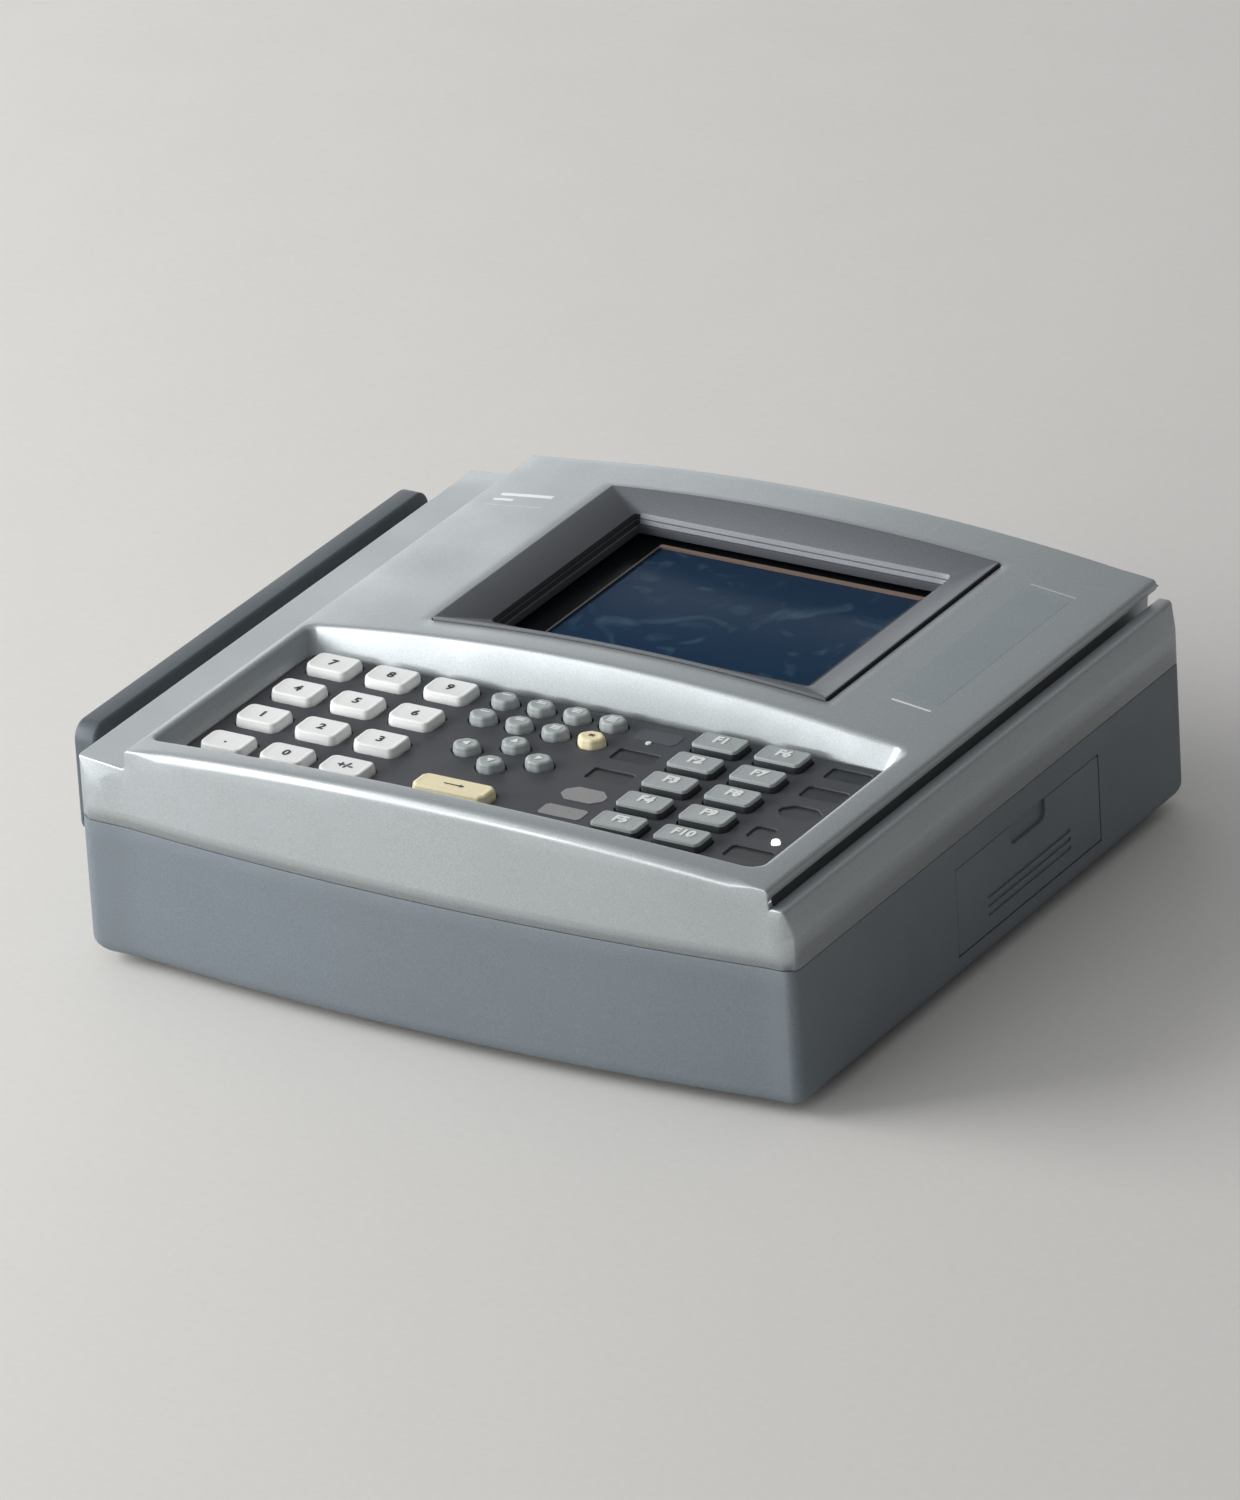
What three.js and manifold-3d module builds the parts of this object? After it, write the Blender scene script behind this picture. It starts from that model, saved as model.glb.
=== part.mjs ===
// Portable network analyzer: a crowned front cover over a rear tray, a sunk display and keypad,
// 35 keys that travel, a carry handle on the left and a battery door on the right.
// Millimetres. X runs to the right, Y away from the user, Z up; the feet stand on Z = 0.
import * as THREE from 'three';
import { mergeVertices } from 'three/addons/utils/BufferGeometryUtils.js';
import Module from 'manifold-3d';

const wasm = await Module();
wasm.setup();

// ---------------------------------------------------------------- driving dimensions
const EDGE_Z = 76; // height of the raised cover's side edges
const COVER_HALF = 116.4; // half width of the raised cover, from the crown's middle to its right edge
const COVER_LEFT = -113.8; // left edge of the raised cover
const COVER_FRONT = -120.5; // front edge of the cover at its two ends
const COVER_BACK = 120.5;
const CROWN = 8.5; // rise of the cover between its side edges
const FRONT_BOW = 6.5; // how far the front bulges in the middle
const STRIP_X = -133.3; // outer face of the left strip
const RAIL_X = 124; // outer face of the right side below the rail
const SHOULDER_Z = EDGE_Z - 6; // top of the left strip and of the right rail
const SPLIT_Z = EDGE_Z - 26; // joint between front cover and rear cover
const WALL = 2.5; // moulded wall thickness
const GAP = 0.3; // clearance between separate pieces
const FOOT_H = 3;
const FLOOR_Z = FOOT_H; // underside of the rear cover

const GROOVE = { inner: 112.5, outer: 116.9, floor: EDGE_Z - 14 };

const RECESS = { left: -109.6, right: 107.5, back: -20.5, front: -110.5, bow: 8, slope: 4.5 };
const PANEL_Z = EDGE_Z - 6; // top of the keypad panel
const PANEL_T = 2.5;

const BEZEL = { left: -70.9, right: 71.7, back: 100.4, front: -8.4, proud: 0.8 };
const OPENING = { left: -55.5, right: 57, back: 91, front: 5, z: EDGE_Z + 1 };
const WINDOW_Z = EDGE_Z - 4.5; // top of the display window
const WINDOW_T = 2;

const KEY_TOP = PANEL_Z + 2.8;
const KEY_TRAVEL = 1.2;
const KEY_GAP = 0.4;
const FLANGE_T = 1;
const FLANGE_LIP = 1;
const FLANGE_TOP = PANEL_Z - PANEL_T - GAP;
const DOME_TOP = FLANGE_TOP - FLANGE_T - KEY_TRAVEL - GAP;
const DOME_T = 1;
const BOARD_T = 1.6;
const KEYPAD_BOARD_TOP = DOME_TOP - DOME_T - GAP;

const HANDLE = { x: -142.6, z: EDGE_Z - 38, front: -100, back: 97, thick: 8, bar: 10, leg: 10 };
const PIN_R = 1.6;
const BRACKET_W = 9;

const DOOR = { front: -24, back: 66, bottom: 11, top: 41, thick: 3 };
const BATTERY_DEPTH = 60;

// ---------------------------------------------------------------- materials
function plastic(color, roughness = 0.5, metalness = 0) {
  return new THREE.MeshStandardMaterial({ color, roughness, metalness });
}

const HOUSING = plastic(0x98a2a6, 0.42, 0.25);
const TRAY = plastic(0x59636b, 0.55, 0.1);
const DARK = plastic(0x474b51, 0.5);
const PANEL = plastic(0x3c4046, 0.55);
const GLASS = plastic(0x16283d, 0.08);
const LCD_METAL = plastic(0x8f9498, 0.35, 0.8);
const WHITE_KEY = plastic(0xe9e9e4, 0.5);
const GREY_KEY = plastic(0x7d888c, 0.5);
const YELLOW_KEY = plastic(0xf0cc7c, 0.5);
const HANDLE_PLASTIC = plastic(0x4a555e, 0.5);
const RUBBER = plastic(0x1e1f21, 0.85);
const CIRCUIT = plastic(0x1e5a3c, 0.6);
const STEEL = plastic(0xa9abad, 0.3, 0.9);
const NICKEL = plastic(0xc3c1b8, 0.28, 0.95);
const BATTERY = plastic(0x26282b, 0.6);
const LENS = plastic(0xf4f6f2, 0.2);

// ---------------------------------------------------------------- solid helpers
function solidOf(geometry) {
  const bare = geometry.clone();
  bare.deleteAttribute('normal');
  bare.deleteAttribute('uv');
  const merged = mergeVertices(bare, 1e-4);
  const vertProperties = new Float32Array(merged.attributes.position.array);
  const triVerts = new Uint32Array(merged.index.array);
  return new wasm.Manifold(new wasm.Mesh({ numProp: 3, vertProperties, triVerts }));
}

function geometryOf(solid) {
  const mesh = solid.getMesh();
  const geometry = new THREE.BufferGeometry();
  geometry.setAttribute('position', new THREE.BufferAttribute(new Float32Array(mesh.vertProperties), 3));
  geometry.setIndex(new THREE.BufferAttribute(new Uint32Array(mesh.triVerts), 1));
  geometry.computeVertexNormals();
  return geometry;
}

function union(...geometries) {
  const solids = geometries.map(solidOf);
  return geometryOf(solids.reduce((sum, solid) => sum.add(solid)));
}

function cut(base, ...tools) {
  return geometryOf(tools.map(solidOf).reduce((rest, tool) => rest.subtract(tool), solidOf(base)));
}

function common(a, b) {
  return geometryOf(solidOf(a).intersect(solidOf(b)));
}

function box(x0, x1, y0, y1, z0, z1) {
  const geometry = new THREE.BoxGeometry(x1 - x0, y1 - y0, z1 - z0);
  return geometry.translate((x0 + x1) / 2, (y0 + y1) / 2, (z0 + z1) / 2);
}

// A shape in the XY plane, raised from z0 to z1.
function prism(shape, z0, z1, curveSegments = 12) {
  const options = { depth: z1 - z0, bevelEnabled: false, curveSegments };
  return new THREE.ExtrudeGeometry(shape, options).translate(0, 0, z0);
}

// A prism whose ends are chamfered by the given size inside the shape's outline.
function chamferedPrism(shape, z0, z1, chamfer, curveSegments = 6) {
  const options = {
    depth: z1 - z0 - 2 * chamfer,
    bevelEnabled: true,
    bevelThickness: chamfer,
    bevelSize: chamfer,
    bevelOffset: -chamfer,
    bevelSegments: 1,
    curveSegments,
  };
  return new THREE.ExtrudeGeometry(shape, options).translate(0, 0, z0 + chamfer);
}

// A hole that widens upwards: the shape's outline at z0, grown by `grow` at z0 + rise, then straight up to z1.
function flaredHole(shape, z0, rise, grow, z1, curveSegments = 12) {
  const options = {
    depth: z1 - z0 - rise,
    bevelEnabled: true,
    bevelThickness: rise,
    bevelSize: grow,
    bevelSegments: 1,
    curveSegments,
  };
  return new THREE.ExtrudeGeometry(shape, options).translate(0, 0, z0 + rise);
}

// A shape drawn in (x, z) and pushed along Y from y0 to y1.
function alongY(shape, y0, y1, curveSegments = 16) {
  return prism(shape, 0, y1 - y0, curveSegments).rotateX(Math.PI / 2).translate(0, y1, 0);
}

// Turns an extrusion of a shape drawn in (y, z) so that it runs along X.
const ALONG_X = new THREE.Matrix4().makeBasis(
  new THREE.Vector3(0, 1, 0),
  new THREE.Vector3(0, 0, 1),
  new THREE.Vector3(1, 0, 0),
);

function polygon(points) {
  return new THREE.Shape(points.map(([x, y]) => new THREE.Vector2(x, y)));
}

// A rectangle with corners cut at 45 degrees.
function chamferedRect(cx, cy, w, h, c) {
  const x = w / 2;
  const y = h / 2;
  return polygon([
    [cx - x + c, cy - y], [cx + x - c, cy - y], [cx + x, cy - y + c], [cx + x, cy + y - c],
    [cx + x - c, cy + y], [cx - x + c, cy + y], [cx - x, cy + y - c], [cx - x, cy - y + c],
  ]);
}

function roundedRect(cx, cy, w, h, r) {
  const x0 = cx - w / 2;
  const x1 = cx + w / 2;
  const y0 = cy - h / 2;
  const y1 = cy + h / 2;
  const shape = new THREE.Shape();
  shape.moveTo(x0 + r, y0).lineTo(x1 - r, y0);
  shape.absarc(x1 - r, y0 + r, r, -Math.PI / 2, 0);
  shape.lineTo(x1, y1 - r);
  shape.absarc(x1 - r, y1 - r, r, 0, Math.PI / 2);
  shape.lineTo(x0 + r, y1);
  shape.absarc(x0 + r, y1 - r, r, Math.PI / 2, Math.PI);
  shape.lineTo(x0, y0 + r);
  shape.absarc(x0 + r, y0 + r, r, Math.PI, 1.5 * Math.PI);
  return shape;
}

const group = new THREE.Group();

function add(name, geometry, material, parent = group) {
  const mesh = new THREE.Mesh(geometry, material);
  mesh.name = name;
  parent.add(mesh);
  return mesh;
}

// ---------------------------------------------------------------- housing outlines
// Plan outline of the whole housing, moved inwards by `inset`.
function housingPlan(inset = 0) {
  const left = STRIP_X + inset;
  const right = RAIL_X - inset;
  const front = COVER_FRONT + inset;
  const back = COVER_BACK - inset;
  const bowEnd = COVER_HALF - 2;
  const corner = 6;
  const shape = new THREE.Shape();
  shape.moveTo(left, front + corner);
  shape.quadraticCurveTo(left, front, left + corner, front);
  shape.lineTo(-bowEnd, front);
  shape.quadraticCurveTo(0, front - 2 * FRONT_BOW, bowEnd, front);
  shape.lineTo(right - 3, front + 1);
  shape.lineTo(right, front + 4);
  shape.lineTo(right, back - 4);
  shape.lineTo(right - 3, back - 1);
  shape.lineTo(bowEnd, back);
  shape.lineTo(COVER_LEFT, back);
  shape.lineTo(COVER_LEFT - 1, back - 2);
  shape.lineTo(left + corner, back - 3);
  shape.quadraticCurveTo(left, back - 3, left, back - corner - 3);
  return shape;
}

// Height of the crowned top above the side edges.
function crownAt(x, rise = CROWN) {
  return rise * (1 - (x / COVER_HALF) ** 2);
}

// Section of the front cover across X: strip, crowned cover, groove and rail.
function coverSection() {
  const round = COVER_HALF - 1.3;
  const roundZ = EDGE_Z + crownAt(round);
  const leftRound = COVER_LEFT + 1.3;
  const leftRoundZ = EDGE_Z + crownAt(leftRound);
  // The crown between the two rounded edges is one parabola, given by its ends and the meeting point of its tangents.
  const tangentX = (leftRound + round) / 2;
  const tangentZ = EDGE_Z + CROWN * (1 - (leftRound * round) / COVER_HALF ** 2);
  const shape = new THREE.Shape();
  shape.moveTo(STRIP_X, SPLIT_Z);
  shape.lineTo(STRIP_X, SHOULDER_Z - 2);
  shape.lineTo(STRIP_X + 2, SHOULDER_Z);
  shape.lineTo(COVER_LEFT - 1, SHOULDER_Z);
  shape.lineTo(COVER_LEFT, SHOULDER_Z + 1);
  shape.lineTo(COVER_LEFT, leftRoundZ - 1.4);
  shape.lineTo(leftRound, leftRoundZ);
  shape.quadraticCurveTo(tangentX, tangentZ, round, roundZ);
  shape.lineTo(COVER_HALF, EDGE_Z - 1.2);
  shape.lineTo(COVER_HALF, EDGE_Z - 3.2);
  shape.lineTo(GROOVE.inner, EDGE_Z - 4.4);
  shape.lineTo(GROOVE.inner, GROOVE.floor);
  shape.lineTo(GROOVE.outer, GROOVE.floor);
  shape.lineTo(GROOVE.outer, SHOULDER_Z - 1);
  shape.lineTo(GROOVE.outer + 1, SHOULDER_Z);
  shape.lineTo(RAIL_X - 3.2, SHOULDER_Z);
  shape.lineTo(RAIL_X - 2, SHOULDER_Z - 1.2);
  shape.lineTo(RAIL_X, SHOULDER_Z - 9);
  shape.lineTo(RAIL_X, SPLIT_Z);
  return shape;
}

// Section of the space inside the front cover.
function cavitySection() {
  const left = COVER_LEFT + WALL;
  const right = GROOVE.inner - WALL;
  const below = SPLIT_Z - 1;
  const top = EDGE_Z - WALL;
  const shape = new THREE.Shape();
  shape.moveTo(STRIP_X + WALL, below);
  shape.lineTo(STRIP_X + WALL, SHOULDER_Z - WALL);
  shape.lineTo(left, SHOULDER_Z - WALL);
  shape.lineTo(left, top + crownAt(left));
  shape.quadraticCurveTo(0, 2 * (top + CROWN) - top - crownAt(left), right, top + crownAt(right));
  shape.lineTo(right, GROOVE.floor - WALL);
  shape.lineTo(RAIL_X - WALL, GROOVE.floor - WALL);
  shape.lineTo(RAIL_X - WALL, below);
  return shape;
}

// Outline of the keypad recess at panel level, grown by `grow`; its front edge follows the bowed front.
function recessPlan(grow = 0) {
  const left = RECESS.left + RECESS.slope - grow;
  const right = RECESS.right - RECESS.slope + grow;
  const back = RECESS.back - 2.5 + grow;
  const front = RECESS.front + 2.5 - grow;
  const corner = 4;
  const shape = new THREE.Shape();
  shape.moveTo(left, front + corner);
  shape.lineTo(left + corner, front);
  shape.quadraticCurveTo((left + right) / 2, front - 2 * RECESS.bow, right - corner, front);
  shape.lineTo(right, front + corner);
  shape.lineTo(right, back - 2);
  shape.lineTo(right - 2, back);
  shape.lineTo(left + 2, back);
  shape.lineTo(left, back - 2);
  return shape;
}

function rectShape({ left, right, front, back }, grow = 0) {
  return polygon([
    [left - grow, front - grow], [right + grow, front - grow],
    [right + grow, back + grow], [left - grow, back + grow],
  ]);
}

// ---------------------------------------------------------------- covers
function frontCover() {
  const far = 140;
  const above = EDGE_Z + CROWN + 10;
  const outer = common(alongY(coverSection(), -far, far), prism(housingPlan(), SPLIT_Z - 5, above));
  const cavity = common(
    alongY(cavitySection(), -far, far),
    prism(housingPlan(WALL), SPLIT_Z - 5, above),
  );
  const grooveEnd = common(
    box(GROOVE.inner - 1, GROOVE.outer + 1, COVER_FRONT - 2, COVER_FRONT + WALL, GROOVE.floor - 1, SHOULDER_Z - 0.5),
    prism(housingPlan(), SPLIT_Z, above),
  );
  const rim = prism(recessPlan(WALL + 2), PANEL_Z - PANEL_T - 1, above);
  const rimInside = common(rim, outer);
  const bezelSeat = common(prism(rectShape(BEZEL, WALL), WINDOW_Z - 4, above), outer);
  const body = union(cut(outer, cavity), rimInside, bezelSeat, grooveEnd);
  const keypadHole = flaredHole(recessPlan(), PANEL_Z - PANEL_T - 5, 10, 4, above);
  const windowHole = prism(rectShape(BEZEL, GAP), SPLIT_Z, above);
  return cut(body, keypadHole, windowHole);
}

function rearCover() {
  const top = SPLIT_Z - GAP;
  const chamfer = 4;
  const mid = FLOOR_Z + 20;
  const outer = union(
    chamferedPrism(housingPlan(), FLOOR_Z, mid, chamfer),
    prism(housingPlan(), mid - chamfer - 1, top, 6),
  );
  const inner = union(
    chamferedPrism(housingPlan(WALL), FLOOR_Z + WALL, mid, chamfer - 1),
    prism(housingPlan(WALL), mid - chamfer - 1, top + 1, 6),
  );
  // A tongue that stands inside the front cover's wall and closes the seam.
  const tongueInside = prism(housingPlan(WALL + GAP + 1.5), top - 7, top + 4, 6);
  const tongueRoot = cut(prism(housingPlan(WALL / 2), top - 6, top - 1, 6), tongueInside);
  const tongueLip = cut(prism(housingPlan(WALL + GAP), top - 2, top + 3, 6), tongueInside);
  const tongue = union(tongueRoot, tongueLip);
  const posts = [[-116, -104], [-116, 100], [104, -104], [104, 100]].map(([x, y]) =>
    new THREE.CylinderGeometry(4, 4.5, 34, 10).rotateX(Math.PI / 2).translate(x, y, FLOOR_Z + 17 + 1),
  );
  // Battery pocket: a box that opens through the right wall.
  const pocketX = RAIL_X - DOOR.thick - BATTERY_DEPTH - 3;
  const t = 2;
  const pocket = cut(
    box(pocketX - t, RAIL_X - 1, DOOR.front - t, DOOR.back + t, DOOR.bottom - t, DOOR.top + t),
    box(pocketX, RAIL_X, DOOR.front, DOOR.back, DOOR.bottom, DOOR.top),
  );
  const doorHole = box(RAIL_X - 6, RAIL_X + 1, DOOR.front, DOOR.back, DOOR.bottom, DOOR.top);
  const shell = union(cut(outer, inner), tongue, ...posts, pocket);
  return cut(shell, doorHole, ...backPortHoles());
}

// ---------------------------------------------------------------- back panel connectors
const RF_PORTS = [-70, -22];
const PORT_Z = 27;
const POWER_PORT_X = 28;
const DATA_PORT_X = 74;
const BACK_FACE = COVER_BACK;

function cylinderAlongY(radius, y0, y1, x, z, segments = 20) {
  return new THREE.CylinderGeometry(radius, radius, y1 - y0, segments).translate(x, (y0 + y1) / 2, z);
}

function backPortHoles() {
  const round = (x, radius) => cylinderAlongY(radius, BACK_FACE - 8, BACK_FACE + 2, x, PORT_Z);
  return [
    ...RF_PORTS.map((x) => round(x, 8)),
    round(POWER_PORT_X, 6),
    box(DATA_PORT_X - 10, DATA_PORT_X + 10, BACK_FACE - 8, BACK_FACE + 2, PORT_Z - 5.5, PORT_Z + 5.5),
  ];
}

// A round socket that points to the back: flange, threaded barrel, bore and centre contact.
function roundSocket({ flange, barrel, bore, contact, reach, tail, inside }) {
  const f = 2;
  const depth = reach - 3;
  const points = [
    [0, -inside], [tail, -inside], [tail, GAP], [flange, GAP], [flange, f], [barrel, f], [barrel, reach - 0.6],
    [barrel - 0.6, reach], [bore, reach], [bore, reach - depth], [contact, reach - depth], [contact, reach - 2],
    [0, reach - 2],
  ];
  return new THREE.LatheGeometry(points.map(([r, y]) => new THREE.Vector2(r, y)), 20);
}

function dataPort() {
  const shell = polygon([[-8.6, 4], [8.6, 4], [7.4, -4], [-7.4, -4]]);
  shell.holes.push(polygon([[-7.8, 3.3], [-6.7, -3.3], [6.7, -3.3], [7.8, 3.3]]));
  const face = alongY(shell, 1, 6.5);
  const plate = alongY(roundedRect(0, 0, 30.8, 12.5, 2), GAP, 1.5, 2);
  const block = box(-9, 9, -8, 1, -4.5, 4.5);
  const insulator = box(-7, 7, 1, 3.2, -2.6, 2.6);
  return union(plate, face, block, insulator);
}

// ---------------------------------------------------------------- display
function displayBezel() {
  const rise = CROWN + BEZEL.proud;
  const section = new THREE.Shape();
  section.moveTo(-COVER_HALF, WINDOW_Z - 3.5);
  section.lineTo(-COVER_HALF, EDGE_Z + BEZEL.proud);
  section.quadraticCurveTo(0, EDGE_Z + BEZEL.proud + 2 * CROWN, COVER_HALF, EDGE_Z + BEZEL.proud);
  section.lineTo(COVER_HALF, WINDOW_Z - 3.5);
  const crowned = alongY(section, BEZEL.front - 5, BEZEL.back + 5, 24);
  const block = common(crowned, prism(rectShape(BEZEL), WINDOW_Z - 4, EDGE_Z + rise + 1));
  const slopeRise = rise - 1;
  const slopeRun = 12;
  const funnel = flaredHole(rectShape(OPENING), OPENING.z, slopeRise, slopeRun, EDGE_Z + rise + 5, 1);
  const shaft = prism(rectShape(OPENING), WINDOW_Z - 10, OPENING.z + 1);
  const windowSeat = prism(rectShape(OPENING, 3), WINDOW_Z - 10, WINDOW_Z + GAP);
  return cut(block, funnel, shaft, windowSeat);
}

function displayWindow() {
  return prism(rectShape(OPENING, 3 - GAP), WINDOW_Z - WINDOW_T, WINDOW_Z);
}

const LCD = { left: -62, right: 64, front: -2, back: 98, t: 7 };
const LCD_TOP = WINDOW_Z - 3.5 - GAP;

function lcdModule() {
  const active = rectShape({ left: -43.8, right: 51.2, front: 15, back: 86 }, 1);
  const frame = prism(rectShape(LCD), LCD_TOP - LCD.t, LCD_TOP);
  return cut(frame, prism(active, LCD_TOP - 0.8, LCD_TOP + 1));
}

// ---------------------------------------------------------------- keys
const DIGITS = [
  ['key_7', 'key_8', 'key_9'],
  ['key_4', 'key_5', 'key_6'],
  ['key_1', 'key_2', 'key_3'],
  ['key_point', 'key_0', 'key_sign'],
];
const DIGIT_GRID = { x: -92.7, y: -33, dx: 21.5, dy: -20.35, w: 16.2, h: 11.8 };
const SOFT_GRID = { x: 47.3, y: -31.9, dx: 22.2, dy: -15.05, w: 16.8, h: 10.2, rows: 5 };
const SMALL_GRID = { x: -30.5, y: -31.6, dx: 13.05, dy: -12.9, w: 9.6, h: 8 };
const ARROWS = { x: -10.9, y: -64.9, dx: 13, dy: 7.4 };
const ENTER = { x: -11.9, y: -92, w: 27, h: 10 };

function rectOutline(cx, cy, w, h, grow = 0, corner = 2) {
  return chamferedRect(cx, cy, w + 2 * grow, h + 2 * grow, corner);
}

function smallOutline(cx, cy, w, h, grow = 0) {
  return rectOutline(cx, cy, w, h, grow, 2.8);
}

function keyList() {
  const keys = [];
  DIGITS.forEach((row, j) =>
    row.forEach((name, i) => {
      const { x, y, dx, dy, w, h } = DIGIT_GRID;
      keys.push({ name, x: x + i * dx, y: y + j * dy, w, h, outline: rectOutline, material: WHITE_KEY });
    }),
  );
  const small = (name, x, y, material = GREY_KEY) => {
    const { w, h } = SMALL_GRID;
    keys.push({ name, x, y, w, h, outline: smallOutline, material });
  };
  for (let i = 0; i < 4; i += 1) {
    small(`key_mode_${i + 1}`, SMALL_GRID.x + i * SMALL_GRID.dx, SMALL_GRID.y);
  }
  for (let i = 0; i < 3; i += 1) {
    small(`key_view_${i + 1}`, SMALL_GRID.x + i * SMALL_GRID.dx, SMALL_GRID.y + SMALL_GRID.dy);
  }
  small('key_select', SMALL_GRID.x + 3 * SMALL_GRID.dx, SMALL_GRID.y + SMALL_GRID.dy, YELLOW_KEY);
  small('key_left', ARROWS.x - ARROWS.dx, ARROWS.y);
  small('key_right', ARROWS.x + ARROWS.dx, ARROWS.y);
  small('key_up', ARROWS.x, ARROWS.y + ARROWS.dy);
  small('key_down', ARROWS.x, ARROWS.y - ARROWS.dy);
  keys.push({ name: 'key_enter', ...ENTER, outline: rectOutline, material: YELLOW_KEY });
  ['left', 'right'].forEach((side, i) => {
    for (let j = 0; j < SOFT_GRID.rows; j += 1) {
      const { x, y, dx, dy, w, h } = SOFT_GRID;
      const name = `key_soft_${side}_${j + 1}`;
      keys.push({ name, x: x + i * dx, y: y + j * dy, w, h, outline: rectOutline, material: GREY_KEY });
    }
  });
  return keys;
}

// One key: a cap with a chamfered top, and a flange that keeps it under the panel.
function keyCap({ x, y, w, h, outline }) {
  const bottom = FLANGE_TOP - FLANGE_T;
  const cap = chamferedPrism(outline(x, y, w, h), bottom + 0.1, KEY_TOP, 0.8);
  const flange = prism(outline(x, y, w, h, FLANGE_LIP), bottom, FLANGE_TOP);
  return union(cap, flange);
}

const STATUS_LED = { x: 95.5, y: -80.7, r: 1.6 };

function keypadPanel(keys) {
  const shape = recessPlan(-GAP);
  for (const { x, y, w, h, outline } of keys) {
    shape.holes.push(outline(x, y, w, h, KEY_GAP));
  }
  const hole = new THREE.Path();
  hole.absarc(STATUS_LED.x, STATUS_LED.y, STATUS_LED.r + GAP, 0, 2 * Math.PI, true);
  shape.holes.push(hole);
  return prism(shape, PANEL_Z - PANEL_T, PANEL_Z, 12);
}

function statusLed() {
  const { x, y, r } = STATUS_LED;
  const bottom = KEYPAD_BOARD_TOP + DOME_T + 2 * GAP;
  const profile = [[0, bottom], [r, bottom], [r, PANEL_Z + 0.3], [r * 0.6, PANEL_Z + 1], [0, PANEL_Z + 1.2]];
  const lens = new THREE.LatheGeometry(profile.map(([a, b]) => new THREE.Vector2(a, b)), 12);
  return lens.rotateX(Math.PI / 2).translate(x, y, 0);
}

// ---------------------------------------------------------------- inside
function keypadBoard() {
  return prism(chamferedRect(-1, -66, 204, 84, 4), KEYPAD_BOARD_TOP - BOARD_T, KEYPAD_BOARD_TOP);
}

function domeSheet() {
  return prism(chamferedRect(-1, -66, 202, 82, 4), DOME_TOP - DOME_T, DOME_TOP);
}

const MAIN_BOARD_TOP = SPLIT_Z - 4;

function mainBoard() {
  const board = prism(chamferedRect(-6, 0, 216, 196, 6), MAIN_BOARD_TOP - BOARD_T, MAIN_BOARD_TOP);
  const chips = [
    [-60, -40, 28, 28, 3], [-10, -50, 20, 20, 2.5], [40, -60, 24, 14, 4], [-70, 30, 16, 34, 5], [60, 20, 22, 22, 3],
    [10, 60, 30, 12, 6], [-20, 10, 12, 12, 2.5], [70, -20, 10, 26, 5],
  ].map(([x, y, w, h, t]) => {
    return box(x - w / 2, x + w / 2, y - h / 2, y + h / 2, MAIN_BOARD_TOP - 0.5, MAIN_BOARD_TOP + t);
  });
  return union(board, ...chips);
}

function rfModule() {
  const z0 = FLOOR_Z + WALL + 1;
  const can = box(-106, 20, 14, 106, z0, z0 + 26);
  const lid = prism(chamferedRect(-43, 60, 120, 86, 3), z0 + 25, z0 + 28);
  const stub = (x) => cylinderAlongY(3, 105, 111.5, x, PORT_Z, 10);
  return union(can, lid, ...RF_PORTS.map(stub));
}

function batteryPack() {
  const x1 = RAIL_X - DOOR.thick - 1.5;
  const shape = chamferedRect(x1 - BATTERY_DEPTH / 2, (DOOR.front + DOOR.back) / 2, BATTERY_DEPTH, 86, 3);
  return chamferedPrism(shape, DOOR.bottom + 0.5, DOOR.top - 1, 1.5);
}

function speaker() {
  const z0 = FLOOR_Z + WALL + 0.5;
  const profile = [[0, z0], [24, z0], [24, z0 + 3], [14, z0 + 9], [14, z0 + 15], [0, z0 + 15]];
  const driver = new THREE.LatheGeometry(profile.map(([a, b]) => new THREE.Vector2(a, b)), 20);
  return driver.rotateX(Math.PI / 2).translate(-60, -60, 0);
}

// ---------------------------------------------------------------- outside fittings
// Battery door: a plate with a round lower edge about its hinge line.
const DOOR_AXIS = { x: RAIL_X - DOOR.thick / 2, z: DOOR.bottom + DOOR.thick / 2 + GAP };

function batteryDoor() {
  const r = DOOR.thick / 2;
  const top = DOOR.top - GAP;
  const shape = new THREE.Shape();
  shape.moveTo(DOOR_AXIS.x + r, DOOR_AXIS.z).lineTo(DOOR_AXIS.x + r, top);
  shape.lineTo(DOOR_AXIS.x - r, top).lineTo(DOOR_AXIS.x - r, DOOR_AXIS.z);
  shape.absarc(DOOR_AXIS.x, DOOR_AXIS.z, r, Math.PI, 2 * Math.PI);
  const plate = alongY(shape, DOOR.front + GAP, DOOR.back - GAP, 8);
  const middle = (DOOR.front + DOOR.back) / 2;
  const fingerDip = box(RAIL_X - 1.2, RAIL_X + 1, middle - 11, middle + 11, top - 6, top + 1);
  return cut(plate, fingerDip);
}

function handleShape() {
  const { front, back, z, bar, leg } = HANDLE;
  const top = SHOULDER_Z;
  const bottom = z - leg / 2;
  const r = 6;
  const inner = 5;
  const shape = new THREE.Shape();
  shape.moveTo(front, bottom + 3);
  shape.lineTo(front + 3, bottom);
  shape.lineTo(front + leg - 3, bottom);
  shape.lineTo(front + leg, bottom + 3);
  shape.lineTo(front + leg, top - bar - inner);
  shape.quadraticCurveTo(front + leg, top - bar, front + leg + inner, top - bar);
  shape.lineTo(back - leg - inner, top - bar);
  shape.quadraticCurveTo(back - leg, top - bar, back - leg, top - bar - inner);
  shape.lineTo(back - leg, bottom + 3);
  shape.lineTo(back - leg + 3, bottom);
  shape.lineTo(back - 3, bottom);
  shape.lineTo(back, bottom + 3);
  shape.lineTo(back, top - r);
  shape.quadraticCurveTo(back, top, back - r, top);
  shape.lineTo(front + r, top);
  shape.quadraticCurveTo(front, top, front, top - r);
  return shape;
}

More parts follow.
